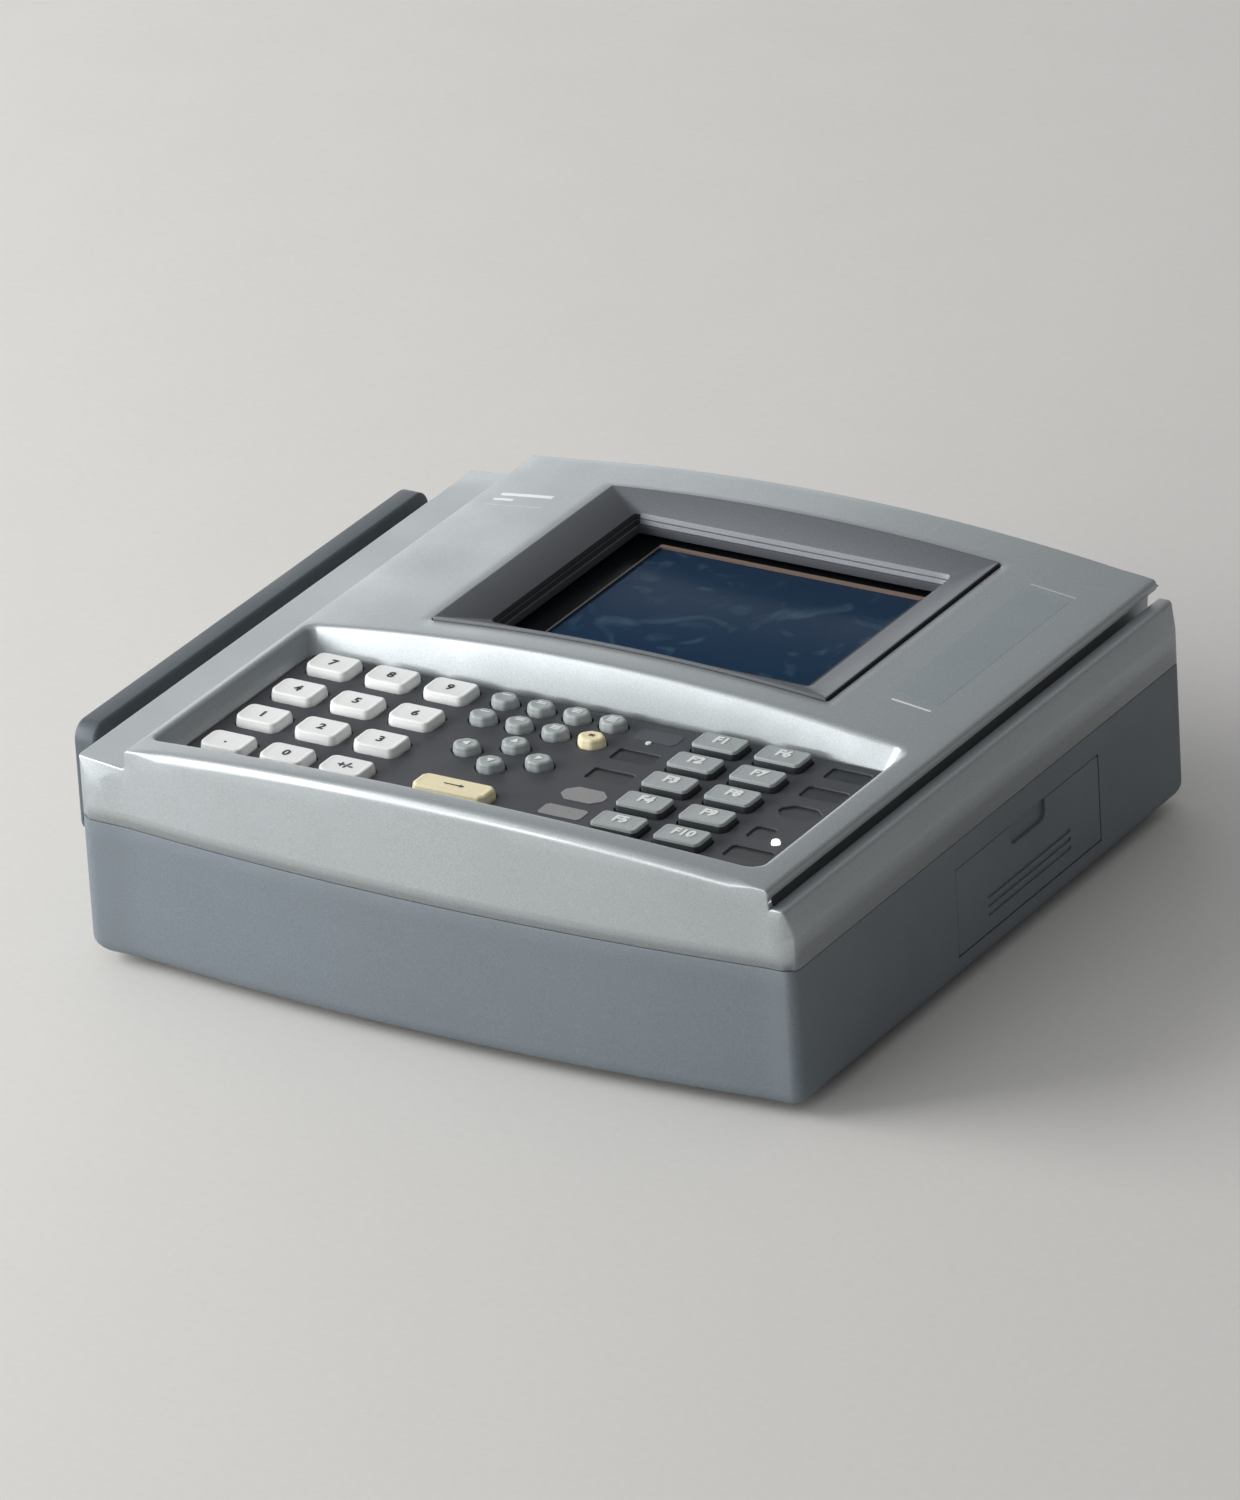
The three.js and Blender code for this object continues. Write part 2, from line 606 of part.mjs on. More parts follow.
function carryHandle() {
  const { x, z, front, back, thick } = HANDLE;
  const blank = chamferedPrism(handleShape(), -thick / 2, thick / 2, 1.2, 4).applyMatrix4(ALONG_X);
  const bore = cylinderAlongY(PIN_R + GAP, front - 1, back + 1, x, z, 12);
  return cut(blank.translate(x, 0, 0), bore);
}

// A lug on the left wall with a stub pin that enters the handle's leg; `side` is -1 at the front, 1 at the back.
function handleBracket(side) {
  const { x, z, front, back, leg } = HANDLE;
  const legFace = side < 0 ? front + leg : back - leg;
  const near = legFace - side * GAP;
  const far = near - side * BRACKET_W;
  const shape = new THREE.Shape();
  const wall = STRIP_X - GAP;
  shape.moveTo(wall, z - 11).lineTo(wall, z + 11);
  shape.lineTo(wall - 2.5, z + 11).lineTo(x, z + 5);
  shape.absarc(x, z, 5, Math.PI / 2, 1.5 * Math.PI);
  shape.lineTo(wall - 2.5, z - 11);
  const lug = alongY(shape, Math.min(near, far), Math.max(near, far), 6);
  const pinEnd = legFace + side * (leg - 2);
  const pin = cylinderAlongY(PIN_R, Math.min(near - side, pinEnd), Math.max(near - side, pinEnd), x, z, 12);
  return union(lug, pin);
}

function foot(x, y) {
  const profile = [[0, 0], [7, 0], [8, 1], [8, FOOT_H - GAP], [0, FOOT_H - GAP]];
  const pad = new THREE.LatheGeometry(profile.map(([a, b]) => new THREE.Vector2(a, b)), 20);
  return pad.rotateX(Math.PI / 2).translate(x, y, 0);
}

// ---------------------------------------------------------------- assembly
const keys = keyList();
add('front_cover', frontCover(), HOUSING);
add('rear_cover', rearCover(), TRAY);
add('display_bezel', displayBezel(), DARK);
add('display_window', displayWindow(), GLASS);
add('lcd_module', lcdModule(), LCD_METAL);
add('keypad_panel', keypadPanel(keys), PANEL);
for (const key of keys) {
  add(key.name, keyCap(key), key.material);
}
add('status_led', statusLed(), LENS);
add('dome_sheet', domeSheet(), RUBBER);
add('keypad_board', keypadBoard(), CIRCUIT);
add('main_board', mainBoard(), CIRCUIT);
add('rf_module', rfModule(), STEEL);
add('speaker', speaker(), BATTERY);
add('battery_pack', batteryPack(), BATTERY);
add('battery_door', batteryDoor(), TRAY);
add('carry_handle', carryHandle(), HANDLE_PLASTIC);
add('handle_bracket_front', handleBracket(-1), HANDLE_PLASTIC);
add('handle_bracket_back', handleBracket(1), HANDLE_PLASTIC);

RF_PORTS.forEach((x, i) => {
  const socket = roundSocket({ flange: 11, barrel: 7.9, bore: 4.8, contact: 1.5, reach: 13, tail: 7.5, inside: 7 });
  add(`rf_connector_${i + 1}`, socket, NICKEL).position.set(x, BACK_FACE, PORT_Z);
});
const jack = roundSocket({ flange: 8, barrel: 5.8, bore: 3.2, contact: 1, reach: 6, tail: 5.5, inside: 8 });
add('power_jack', jack, RUBBER).position.set(POWER_PORT_X, BACK_FACE, PORT_Z);
add('data_port', dataPort(), NICKEL).position.set(DATA_PORT_X, BACK_FACE, PORT_Z);

const FEET = [['front_left', -112, -98], ['front_right', 104, -98], ['back_left', -112, 94], ['back_right', 104, 94]];
for (const [corner, x, y] of FEET) {
  add(`foot_${corner}`, foot(x, y), RUBBER);
}

// The origin is the middle of the object's outline on the table.
const extent = new THREE.Box3().setFromObject(group);
group.position.set(-(extent.min.x + extent.max.x) / 2, -(extent.min.y + extent.max.y) / 2, 0);
group.updateMatrixWorld(true);

export default group;
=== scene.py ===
"""Looks of the portable network analyzer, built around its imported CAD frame.

Shapes are worked out in the design frame: millimetres, X and Y from the middle of the raised cover,
Z from the table. `metres` turns them into the frame's own metres.
"""
import math

import bmesh
import bpy
import numpy as np
from mathutils import Matrix, Vector
from mathutils.geometry import delaunay_2d_cdt


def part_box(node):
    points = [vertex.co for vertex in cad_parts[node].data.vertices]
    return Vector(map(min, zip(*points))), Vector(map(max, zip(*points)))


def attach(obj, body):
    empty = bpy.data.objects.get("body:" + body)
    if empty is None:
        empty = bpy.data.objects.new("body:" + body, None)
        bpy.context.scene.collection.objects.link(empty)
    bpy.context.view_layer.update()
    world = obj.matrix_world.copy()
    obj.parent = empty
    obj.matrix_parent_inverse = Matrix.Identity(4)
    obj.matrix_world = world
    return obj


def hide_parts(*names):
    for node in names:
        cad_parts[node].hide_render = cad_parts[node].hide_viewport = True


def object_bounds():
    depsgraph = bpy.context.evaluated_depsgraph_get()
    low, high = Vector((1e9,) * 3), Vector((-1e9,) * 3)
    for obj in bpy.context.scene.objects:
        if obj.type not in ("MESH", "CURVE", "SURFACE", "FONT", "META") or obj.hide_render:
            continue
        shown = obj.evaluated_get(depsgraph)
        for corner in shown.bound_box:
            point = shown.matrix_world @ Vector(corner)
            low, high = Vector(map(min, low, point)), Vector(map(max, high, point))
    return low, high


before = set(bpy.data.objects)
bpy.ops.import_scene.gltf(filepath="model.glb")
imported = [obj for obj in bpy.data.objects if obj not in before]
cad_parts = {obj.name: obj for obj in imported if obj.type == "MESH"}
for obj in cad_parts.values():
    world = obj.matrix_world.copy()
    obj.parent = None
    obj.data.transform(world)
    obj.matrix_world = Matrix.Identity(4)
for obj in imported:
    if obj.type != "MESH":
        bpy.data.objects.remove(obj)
cad_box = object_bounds()

# ---------------- driving dimensions
MM = 0.001
BODY = "housing"
GAP = 0.3

# Plan: the housing's outer faces, the raised cover's edges, and the two corner radii.
HOUSING_RIGHT = 124.0
STRIP_X = -133.3
COVER_BACK = 120.5
COVER_HALF = 116.4
COVER_LEFT = -113.8
LEFT_CORNER = 6.0
RIGHT_CORNER = 4.0
FRONT_BOW = 6.5

# The groove beside the raised cover, and the rail outside it.
GROOVE_LEFT = 112.5
RAIL_LEFT = 116.5
RAIL_RIGHT = 121.4

# The crown's height above the cover's side edges, and depths below those edges.
CROWN = 8.5
LIP = 3.2
SHOULDER = 6.0
GROOVE_DEPTH = 14.0

cover_low, cover_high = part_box("front_cover")
ORIGIN = np.array([cover_high.x / MM - HOUSING_RIGHT, cover_high.y / MM - COVER_BACK, 0.0])
EDGE_Z = cover_high.z / MM - CROWN
SHOULDER_Z = EDGE_Z - SHOULDER
SPLIT_Z = cover_low.z / MM
PANEL_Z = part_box("keypad_panel")[1].z / MM
WINDOW_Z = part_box("display_window")[1].z / MM
FLOOR_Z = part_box("rear_cover")[0].z / MM


def metres(points):
    """Design points, as metres in the frame."""
    return (np.array(points, float).reshape(-1, 3) + ORIGIN) * MM


def design(point):
    """A point of the frame, in design millimetres."""
    return np.array(point) / MM - ORIGIN


def design_box(node):
    """A CAD node's lowest and highest corner, in design millimetres."""
    low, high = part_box(node)
    return design(low), design(high)


def crown(x):
    """Height of the crowned top at x."""
    return EDGE_Z + CROWN * (1 - (np.asarray(x, float) / COVER_HALF) ** 2)


# ---------------- materials
def srgb(r, g, b):
    """A colour given as 0 to 255 values, as linear values."""
    values = [v / 255 for v in (r, g, b)]
    return [v / 12.92 if v <= 0.04045 else ((v + 0.055) / 1.055) ** 2.4 for v in values] + [1.0]


def feed(tree, socket, value):
    """Gives an input its value, or links it to another node's output."""
    if isinstance(value, bpy.types.NodeSocket):
        tree.links.new(value, socket)
    else:
        socket.default_value = value


def add_node(tree, kind, inputs, operation=None):
    """A shader node with these inputs, which are named or numbered."""
    node = tree.nodes.new("ShaderNode" + kind)
    if operation:
        node.operation = operation
    for key, value in inputs.items():
        feed(tree, node.inputs[key], value)
    return node


def noise(tree, coords, size_mm, detail, roughness):
    """Noise whose features are about this large."""
    inputs = {"Vector": coords, "Scale": 1 / (size_mm * MM), "Detail": detail, "Roughness": roughness}
    return add_node(tree, "TexNoise", inputs).outputs["Fac"]


def map_range(tree, value, low, high, source=(0.3, 0.7)):
    """A value, carried from the source range to low and high."""
    inputs = {"Value": value, "From Min": source[0], "From Max": source[1], "To Min": low, "To Max": high}
    return add_node(tree, "MapRange", inputs).outputs["Result"]


def mix_color(tree, factor, a, b):
    """A blend of two colours."""
    node = tree.nodes.new("ShaderNodeMix")
    node.data_type = "RGBA"
    for socket, value in ((node.inputs["Factor"], factor), (node.inputs[6], a), (node.inputs[7], b)):
        feed(tree, socket, value)
    return node.outputs[2]


def shade(color, factor):
    """A lighter or darker colour."""
    return [min(1.0, c * factor) for c in color[:3]] + [1.0]


MOTTLE_MM = 38.0


def finish(name, color, rough, metallic=0.0, grain_mm=0.5, fleck=0.08, bump_mm=0.02, mottle=0.05,
           coat=0.0, specular=0.5, emission=0.0):
    """A moulded or coated surface: fine grain in colour and height, and a slow change in colour and gloss."""
    material = bpy.data.materials.new(name)
    material.use_nodes = True
    tree = material.node_tree
    shader = tree.nodes["Principled BSDF"]
    coords = tree.nodes.new("ShaderNodeTexCoord").outputs["Object"]
    grain = noise(tree, coords, grain_mm, 2.0, 0.6)
    slow = noise(tree, coords, MOTTLE_MM, 3.0, 0.55)
    speckled = mix_color(tree, map_range(tree, grain, 0, 1), shade(color, 1 - fleck), shade(color, 1 + fleck))
    bump = add_node(tree, "Bump", {"Height": grain, "Strength": 0.6, "Distance": bump_mm * MM})
    settings = {
        "Base Color": mix_color(tree, map_range(tree, slow, 0, mottle), speckled, shade(color, 0.55)),
        "Roughness": map_range(tree, slow, rough - 0.05, rough + 0.06),
        "Normal": bump.outputs["Normal"],
        "Metallic": metallic,
        "Specular IOR Level": specular,
        "Coat Weight": coat,
        "Coat Roughness": 0.12,
    }
    if emission:
        settings |= {"Emission Color": color, "Emission Strength": emission}
    for key, value in settings.items():
        feed(tree, shader.inputs[key], value)
    return material


# The area of the display window that lets the picture through: left, right, front and back.
PICTURE = (-44.6, 52.0, 14.2, 85.4)
REFLECTION_SCALE = 42


def display_finish(name):
    """The window: near black at its border, deep blue over the picture area, with painted reflections as
    faint pale streaks.
    """
    material = finish(name, srgb(20, 44, 66), 0.3, bump_mm=0.0, specular=0.03)
    tree = material.node_tree
    coords = tree.nodes.new("ShaderNodeTexCoord").outputs["Object"]
    split = add_node(tree, "SeparateXYZ", {"Vector": coords})
    left, right, front, back = PICTURE
    low, high = metres([(left, front, 0), (right, back, 0)])
    within = []
    for axis, a, b in (("X", low[0], high[0]), ("Y", low[1], high[1])):
        inputs = {0: split.outputs[axis], 1: (a + b) / 2, 2: (b - a) / 2}
        within.append(add_node(tree, "Math", inputs, "COMPARE").outputs[0])
    inside = add_node(tree, "Math", {0: within[0], 1: within[1]}, "MULTIPLY").outputs[0]
    # Painted reflection: faint pale streaks of warped noise over the blue picture area.
    inputs = {"Vector": coords, "Scale": REFLECTION_SCALE, "Detail": 5, "Distortion": 2.2}
    warp = add_node(tree, "TexNoise", inputs)
    painted_reflection = map_range(tree, warp.outputs["Fac"], 0, 0.5, (0.54, 0.82))
    blue = mix_color(tree, painted_reflection, srgb(26, 52, 78), srgb(92, 122, 136))
    base = tree.nodes["Principled BSDF"].inputs["Base Color"]
    feed(tree, base, mix_color(tree, inside, srgb(8, 10, 12), blue))
    return material


def brushed(name, color, rough, along):
    """Metal with fine lines along one axis."""
    material = finish(name, color, rough, 0.9, 0.4, 0.05, 0.01, 0.06)
    tree = material.node_tree
    coords = next(n for n in tree.nodes if n.type == "TEX_COORD").outputs["Object"]
    grain = next(n for n in tree.nodes if n.type == "TEX_NOISE")
    scale = [0.05 if axis == along else 1 for axis in "XYZ"]
    stretch = add_node(tree, "Mapping", {"Vector": coords, "Scale": scale})
    feed(tree, grain.inputs["Vector"], stretch.outputs["Vector"])
    return material


# Colour, roughness, metallic, grain in mm, fleck, bump in mm and mottle of each moulded or printed finish.
FINISHES = {
    "housing": ((172, 178, 180), 0.40, 0.60, 0.40, 0.14, 0.020, 0.03),
    "tray": ((112, 121, 128), 0.52, 0.10, 0.55, 0.12, 0.035, 0.12),
    "bezel": ((96, 100, 105), 0.45, 0.05, 0.5, 0.12, 0.025, 0.08),
    # Painted shade on the bezel's walls that face right or back, then a painted highlight on its back step.
    "bezel_painted_shade": ((30, 33, 36), 0.5, 0, 0.5, 0.10, 0.02, 0.08),
    "bezel_painted_highlight": ((124, 127, 132), 0.40, 0.2, 0.5, 0.10, 0.02, 0.04),
    # Painted shade on the seal round the picture, everywhere but its back strip.
    "seal_painted_shade": ((62, 60, 60), 0.5, 0.0, 0.5, 0.10, 0.02, 0.05),
    "panel": ((64, 67, 72), 0.55, 0.0, 0.5, 0.16, 0.03, 0.12),
    "panel_light": ((76, 78, 86), 0.5, 0.0, 0.5, 0.14, 0.02, 0.1),
    "label": ((36, 39, 44), 0.4, 0.0, 0.5, 0.12, 0.01, 0.1),
    "label_light": ((150, 150, 149), 0.5, 0.0, 0.5, 0.1, 0.015, 0.1),
    # Painted shade on the soft keys' sides, below their top edge.
    "key_painted_shade": ((48, 54, 57), 0.55, 0.0, 0.5, 0.1, 0.02, 0.08),
    "white_key": ((248, 249, 247), 0.42, 0.0, 0.6, 0.03, 0.012, 0.04),
    "grey_key": ((170, 177, 177), 0.42, 0.05, 0.5, 0.08, 0.02, 0.08),
    "yellow_key": ((255, 240, 198), 0.42, 0.0, 0.5, 0.05, 0.015, 0.06),
    "handle": ((84, 92, 98), 0.48, 0.05, 0.5, 0.12, 0.03, 0.1),
    "rubber": ((38, 38, 40), 0.85, 0.0, 0.7, 0.15, 0.05, 0.1),
    "black_plastic": ((34, 36, 39), 0.5, 0.0, 0.6, 0.12, 0.03, 0.1),
    "dark_print": ((38, 42, 48), 0.5, 0.0, 0.4, 0.1, 0.0, 0.05),
    "white_print": ((240, 242, 240), 0.5, 0.0, 0.4, 0.03, 0.0, 0.03),
    "blue_print": ((167, 178, 183), 0.40, 0.6, 0.40, 0.14, 0.02, 0.2),
    "pale_print": ((196, 202, 204), 0.5, 0.0, 0.4, 0.03, 0.0, 0.03),
    "lens": ((250, 252, 248), 0.2, 0, 0.5, 0.02, 0.0, 0.02),
    "gasket": ((126, 108, 96), 0.6, 0.0, 0.5, 0.1, 0.02, 0.08),
    "insulator": ((232, 230, 222), 0.45, 0, 0.5, 0.03, 0.01, 0.04),
    "circuit": ((32, 96, 62), 0.4, 0.0, 0.8, 0.15, 0.02, 0.2),
}
EXTRAS = {
    "rubber": {"specular": 0.25},
    "lens": {"coat": 0.6, "emission": 1.2},
    "circuit": {"coat": 0.3},
}
# Colour, roughness and the direction of the lines of each metal.
METALS = {
    "gold": ((212, 175, 96), 0.25, "X"),
    "nickel": ((196, 194, 188), 0.26, "Y"),
    "steel": ((168, 170, 172), 0.34, "X"),
    "screw": ((120, 122, 124), 0.35, "Z"),
    "shield": ((186, 189, 190), 0.36, "X"),
}
M = {name: finish(name, srgb(*rgb), *look, **EXTRAS.get(name, {})) for name, (rgb, *look) in FINISHES.items()}
M |= {name: brushed(name, srgb(*rgb), *look) for name, (rgb, *look) in METALS.items()}
M["window"] = display_finish("window")

CAD_FINISH = {
    "lcd_module": "shield", "dome_sheet": "rubber", "keypad_board": "circuit", "main_board": "circuit",
    "rf_module": "shield", "speaker": "black_plastic", "battery_pack": "black_plastic",
}


def dress_cad_nodes():
    """Gives every CAD node that stays its procedural finish."""
    for node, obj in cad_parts.items():
        obj.data.materials.clear()
        obj.data.materials.append(M[CAD_FINISH.get(node, "tray")])


# ---------------- outlines
def unit(v):
    """Vectors of length one."""
    return v / np.maximum(np.linalg.norm(v, axis=-1, keepdims=True), 1e-12)


def cross2(a, b):
    """Cross product of plane vectors: positive where b lies to the left of a."""
    return a[..., 0] * b[..., 1] - a[..., 1] * b[..., 0]


def offset_corners(corners, inset):
    """The corners of a counter-clockwise polygon, moved inwards."""
    c = np.array(corners, float)
    before = unit(c - np.roll(c, 1, 0))
    after = unit(np.roll(c, -1, 0) - c)
    n1 = np.stack([-before[:, 1], before[:, 0]], 1)
    n2 = np.stack([-after[:, 1], after[:, 0]], 1)
    return c + (n1 + n2) * (inset / (1 + (n1 * n2).sum(1)))[:, None]


def corner_arc(p, q, r, radius, steps):
    """Points of the arc that rounds the corner q between p and r."""
    a, b = unit(p - q), unit(r - q)
    half = math.acos(float(np.clip((a * b).sum(), -1, 1))) / 2
    if radius < 0.01 or half > math.pi / 2 - 0.02:
        return [q] * (steps + 1)
    reach = min(radius / math.tan(half), 0.495 * np.linalg.norm(p - q), 0.495 * np.linalg.norm(r - q))
    radius = reach * math.tan(half)
    centre = q + unit(a + b) * radius / math.sin(half)
    start = q + a * reach - centre
    turn = math.copysign(math.pi - 2 * half, float(cross2(q - p, r - q)))
    angles = [turn * k / steps for k in range(steps + 1)]
    across = np.array([-start[1], start[0]])
    return [centre + start * math.cos(t) + across * math.sin(t) for t in angles]


def outline(corners, radii, inset=0.0, arc=6, edge=1):
    """A counter-clockwise polygon with rounded corners; each straight edge has `edge` parts."""
    c = offset_corners(corners, inset)
    count = len(c)
    radii = [radii] * count if np.isscalar(radii) else list(radii)
    arcs = []
    for i in range(count):
        p, q, r = c[i - 1], c[i], c[(i + 1) % count]
        convex = cross2(q - p, r - q) > 0
        arcs.append(corner_arc(p, q, r, max(radii[i] - inset * (1 if convex else -1), 0.05), arc))
    points = []
    for i in range(count):
        points.extend(arcs[i])
        a, b = arcs[i][-1], arcs[(i + 1) % count][0]
        points.extend(a + (b - a) * k / edge for k in range(1, edge))
    return np.array(points)


def fillet_path(points, radii):
    """An open line with its inner corners rounded."""
    pts = [np.array(p, float) for p in points]
    out = [pts[0]]
    for i in range(1, len(pts) - 1):
        out.extend(corner_arc(pts[i - 1], pts[i], pts[i + 1], radii[i], 6) if radii[i] else [pts[i]])
    return out + [pts[-1]]


def rect(left, right, front, back):
    """Corners of a rectangle."""
    return [(left, front), (right, front), (right, back), (left, back)]


def cut_rect(cx, cy, w, h, c):
    """A rectangle with corners cut at 45 degrees."""
    x, y = w / 2, h / 2
    return [(cx - x + c, cy - y), (cx + x - c, cy - y), (cx + x, cy - y + c), (cx + x, cy + y - c),
            (cx + x - c, cy + y), (cx - x + c, cy + y), (cx - x, cy + y - c), (cx - x, cy - y + c)]


# ---------------- mesh building
def inside_loops(points, loops):
    """For each point, whether an odd number of the loops surrounds it."""
    odd = np.zeros(len(points), bool)
    x, y = points[:, 0], points[:, 1]
    for loop in loops:
        a, b = np.array(loop), np.roll(np.array(loop), -1, 0)
        for (x0, y0), (x1, y1) in zip(a, b):
            spans = (y0 > y) != (y1 > y)
            if y1 != y0:
                odd ^= spans & (x < (x1 - x0) * (y - y0) / (y1 - y0) + x0)
    return odd


def triangles(loops, extra):
    """Triangles of the region between flat loops, as indices into all their points and then `extra`."""
    flat = [Vector((float(p[0]), float(p[1]))) for loop in loops for p in loop]
    edges = []
    start = 0
    for loop in loops:
        edges += [(start + k, start + (k + 1) % len(loop)) for k in range(len(loop))]
        start += len(loop)
    flat += [Vector((float(p[0]), float(p[1]))) for p in extra]
    verts, _, faces, origins, _, _ = delaunay_2d_cdt(flat, edges, [], 0, 1e-5)
    back = [o[0] if o else -1 for o in origins]
    centres = np.array([sum((verts[i] for i in f), Vector((0, 0))) / len(f) for f in faces])
    keep = inside_loops(centres, loops)
    return [[back[i] for i in f] for f, k in zip(faces, keep) if k and all(back[i] >= 0 for i in f)]


class Shape:
    """A mesh under construction, in design millimetres."""

    def __init__(self):
        self.points = []
        self.faces = []

    def ring(self, points):
        """Adds points and gives their indices."""
        start = len(self.points)
        self.points.extend(tuple(float(v) for v in p) for p in points)
        return list(range(start, len(self.points)))

    def level(self, flat, z):
        """A ring from plan points at one height, or at one height for each point."""
        heights = np.broadcast_to(z, (len(flat),))
        return self.ring(np.column_stack([flat, heights]))

    def bridge(self, a, b, closed=True):
        """A band of faces between two rings."""
        count = len(a)
        for i in range(count if closed else count - 1):
            j = (i + 1) % count
            self.faces.append([a[i], a[j], b[j], b[i]])

    def loft(self, rings):
        """Bands of faces from ring to ring."""
        for a, b in zip(rings, rings[1:]):
            self.bridge(a, b)

    def cap(self, loops, extra=(), flat=None):
        """Fills the region between loops of point indices; `flat` gives a point's place in the plane."""
        flat = flat or (lambda p: (p[0], p[1]))
        order = [i for loop in loops for i in loop] + list(extra)
        places = [[flat(self.points[i]) for i in loop] for loop in loops]
        for tri in triangles(places, [flat(self.points[i]) for i in extra]):
            self.faces.append([order[i] for i in tri])

    def skin(self, rings):
        """A closed solid: bands from ring to ring and a lid on each end."""
        self.loft(rings)
        self.cap([rings[0]])
        self.cap([rings[-1]])
        return self


SHARP = 32


def link(name, data):
    """A new object in the scene."""
    obj = bpy.data.objects.new(name, data)
    bpy.context.scene.collection.objects.link(obj)
    return obj


def solid(name, shape, sharp=SHARP):
    """A mesh object made from a Shape."""
    mesh = bpy.data.meshes.new(name)
    mesh.from_pydata([tuple(p) for p in metres(shape.points)], [], shape.faces)
    obj = link(name, mesh)
    tidy(obj, sharp)
    return obj


def make(name, shape, material, body=BODY, replaces=(), sharp=SHARP):
    """Turns a Shape into a piece that rides on a body."""
    return dress(solid(name, shape, sharp), material, body, replaces)


def tidy(obj, sharp):
    """Joins doubled points, makes the faces point out, and shades smooth up to an angle."""
    work = bmesh.new()
    work.from_mesh(obj.data)
    bmesh.ops.remove_doubles(work, verts=work.verts, dist=4e-6)
    bmesh.ops.dissolve_degenerate(work, edges=work.edges, dist=1e-6)
    bmesh.ops.recalc_face_normals(work, faces=work.faces)
    work.to_mesh(obj.data)
    work.free()
    obj.data.shade_smooth()
    obj.data.set_sharp_from_angle(angle=math.radians(sharp))
    obj.data.update()


def dress(obj, material, body=BODY, replaces=()):
    """Gives a piece its finish and body, and hides the CAD nodes that it stands for."""
    obj.data.materials.clear()
    obj.data.materials.append(M[material])
    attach(obj, body)
    if replaces:
        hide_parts(replaces)
    return obj


def paint(obj, materials, choose):
    """Adds materials; `choose` gives each face its material's index, from its centre and its normal."""
    for material in materials:
        obj.data.materials.append(M[material])
    for face in obj.data.polygons:
        face.material_index = choose(design(face.center), face.normal)


def settle(obj):
    """Applies the object's modifiers."""
    graph = bpy.context.evaluated_depsgraph_get()
    mesh = bpy.data.meshes.new_from_object(obj.evaluated_get(graph))
    obj.modifiers.clear()
    obj.data = mesh


def carve(obj, shapes, sharp):
    """Cuts the shapes out of obj, one after another."""
    for shape in shapes:
        tool = solid("cutter", shape)
        step = obj.modifiers.new("cut", "BOOLEAN")
        step.operation = "DIFFERENCE"
        step.solver = "EXACT"
        step.object = tool
        settle(obj)
        bpy.data.objects.remove(tool)
    tidy(obj, sharp)


def plate(corners, radii, levels, arc=6, edge=1):
    """A closed solid with (height, inset) levels from the bottom to the top."""
    shape = Shape()
    return shape.skin([shape.level(outline(corners, radii, inset, arc, edge), z) for z, inset in levels])


def slab(corners, radii, z0, z1, arc=4):
    """A plate with straight sides."""
    return plate(corners, radii, [(z0, 0), (z1, 0)], arc)


def rounded_levels(z0, z1, top, bottom, steps):
    """Levels of a plate whose top and bottom edges are rounded by these radii."""
    quarter = [math.pi / 2 * k / steps for k in range(steps + 1)]
    low = [(z0 + bottom * (1 - math.sin(t)), bottom * (1 - math.cos(t))) for t in reversed(quarter)]
    high = [(z1 - top * (1 - math.sin(t)), top * (1 - math.cos(t))) for t in quarter]
    return low + high


def lathe(profile, centre, axis="Z", segments=48):
    """A turned solid; the profile's (radius, height) points start and end on the axis."""
    shape = Shape()
    angles = [2 * math.pi * k / segments for k in range(segments)]
    rings = []
    for r, h in profile:
        across = [(r * math.cos(t), r * math.sin(t)) for t in angles]
        points = [(a, b, h) if axis == "Z" else (a, h, b) for a, b in across]
        rings.append(shape.ring(np.array(points) + np.array(centre)))
    shape.loft(rings)
    return shape


def rod(x, z, radius, y0, y1):
    """A cylinder along Y."""
    return lathe([(0, y0), (radius, y0), (radius, y1), (0, y1)], (x, 0, z), "Y", 40)


def post(x, y, radius, z0, z1):
    """A cylinder along Z."""
    return lathe([(0, z0), (radius, z0), (radius, z1), (0, z1)], (x, y, 0), "Z", 40)


def block(x0, x1, y0, y1, z0, z1):
    """A box with sharp edges."""
    return slab(rect(x0, x1, y0, y1), 0.0, z0, z1, 1)


def moved(shape, turn, shift):
    """The shape, turned about the origin and then shifted."""
    matrix = np.array(turn)
    shape.points = [tuple(matrix @ np.array(p) + np.array(shift)) for p in shape.points]
    return shape


# Turns of a shape that is drawn flat and raised along Z. It is raised instead along:
TO_RIGHT = [[0, 0, 1], [1, 0, 0], [0, 1, 0]]    # X, from a drawing in (y, z)
TO_FRONT = [[1, 0, 0], [0, 0, -1], [0, 1, 0]]   # -Y, from a drawing in (x, z)
TO_BACK = [[1, 0, 0], [0, 0, 1], [0, 1, 0]]     # Y, from a drawing in (x, z)
TO_FLOOR = [[1, 0, 0], [0, -1, 0], [0, 0, -1]]  # -Z


# ---------------- front cover
RECESS_TOP = rect(-109.6, 107.5, -110.5, -20.0)
RECESS_TOP_R = (2.5, 5.0, 5.0, 3.0)
RECESS_FOOT = rect(-104.9, 102.8, -108.0, -24.5)
RECESS_FOOT_R = (3.0, 5.0, 4.0, 3.0)
RECESS_BOW = 8.0
FOOT_BOW = 7.2
BEZEL = rect(-70.9, 71.7, -8.4, 100.4)
RING_ARC = 8
RING_EDGE = 30
STATIONS = 14
FRONT_ROUND = 3.0
BACK_ROUND = 1.6
SIDE_ROUND = 0.6
COVER_WALL = 1.8
GROOVE_WALL = 1.6


def corner_rounding(x):
    """How far the plan outline draws back near its left and right corners."""
    left = np.clip(STRIP_X + LEFT_CORNER - x, 0, LEFT_CORNER)
    right = np.clip(x - HOUSING_RIGHT + RIGHT_CORNER, 0, RIGHT_CORNER)
    drawn_left = LEFT_CORNER - np.sqrt(np.clip(LEFT_CORNER ** 2 - left ** 2, 0, None))
    drawn_right = RIGHT_CORNER - np.sqrt(np.clip(RIGHT_CORNER ** 2 - right ** 2, 0, None))
    return drawn_left + drawn_right


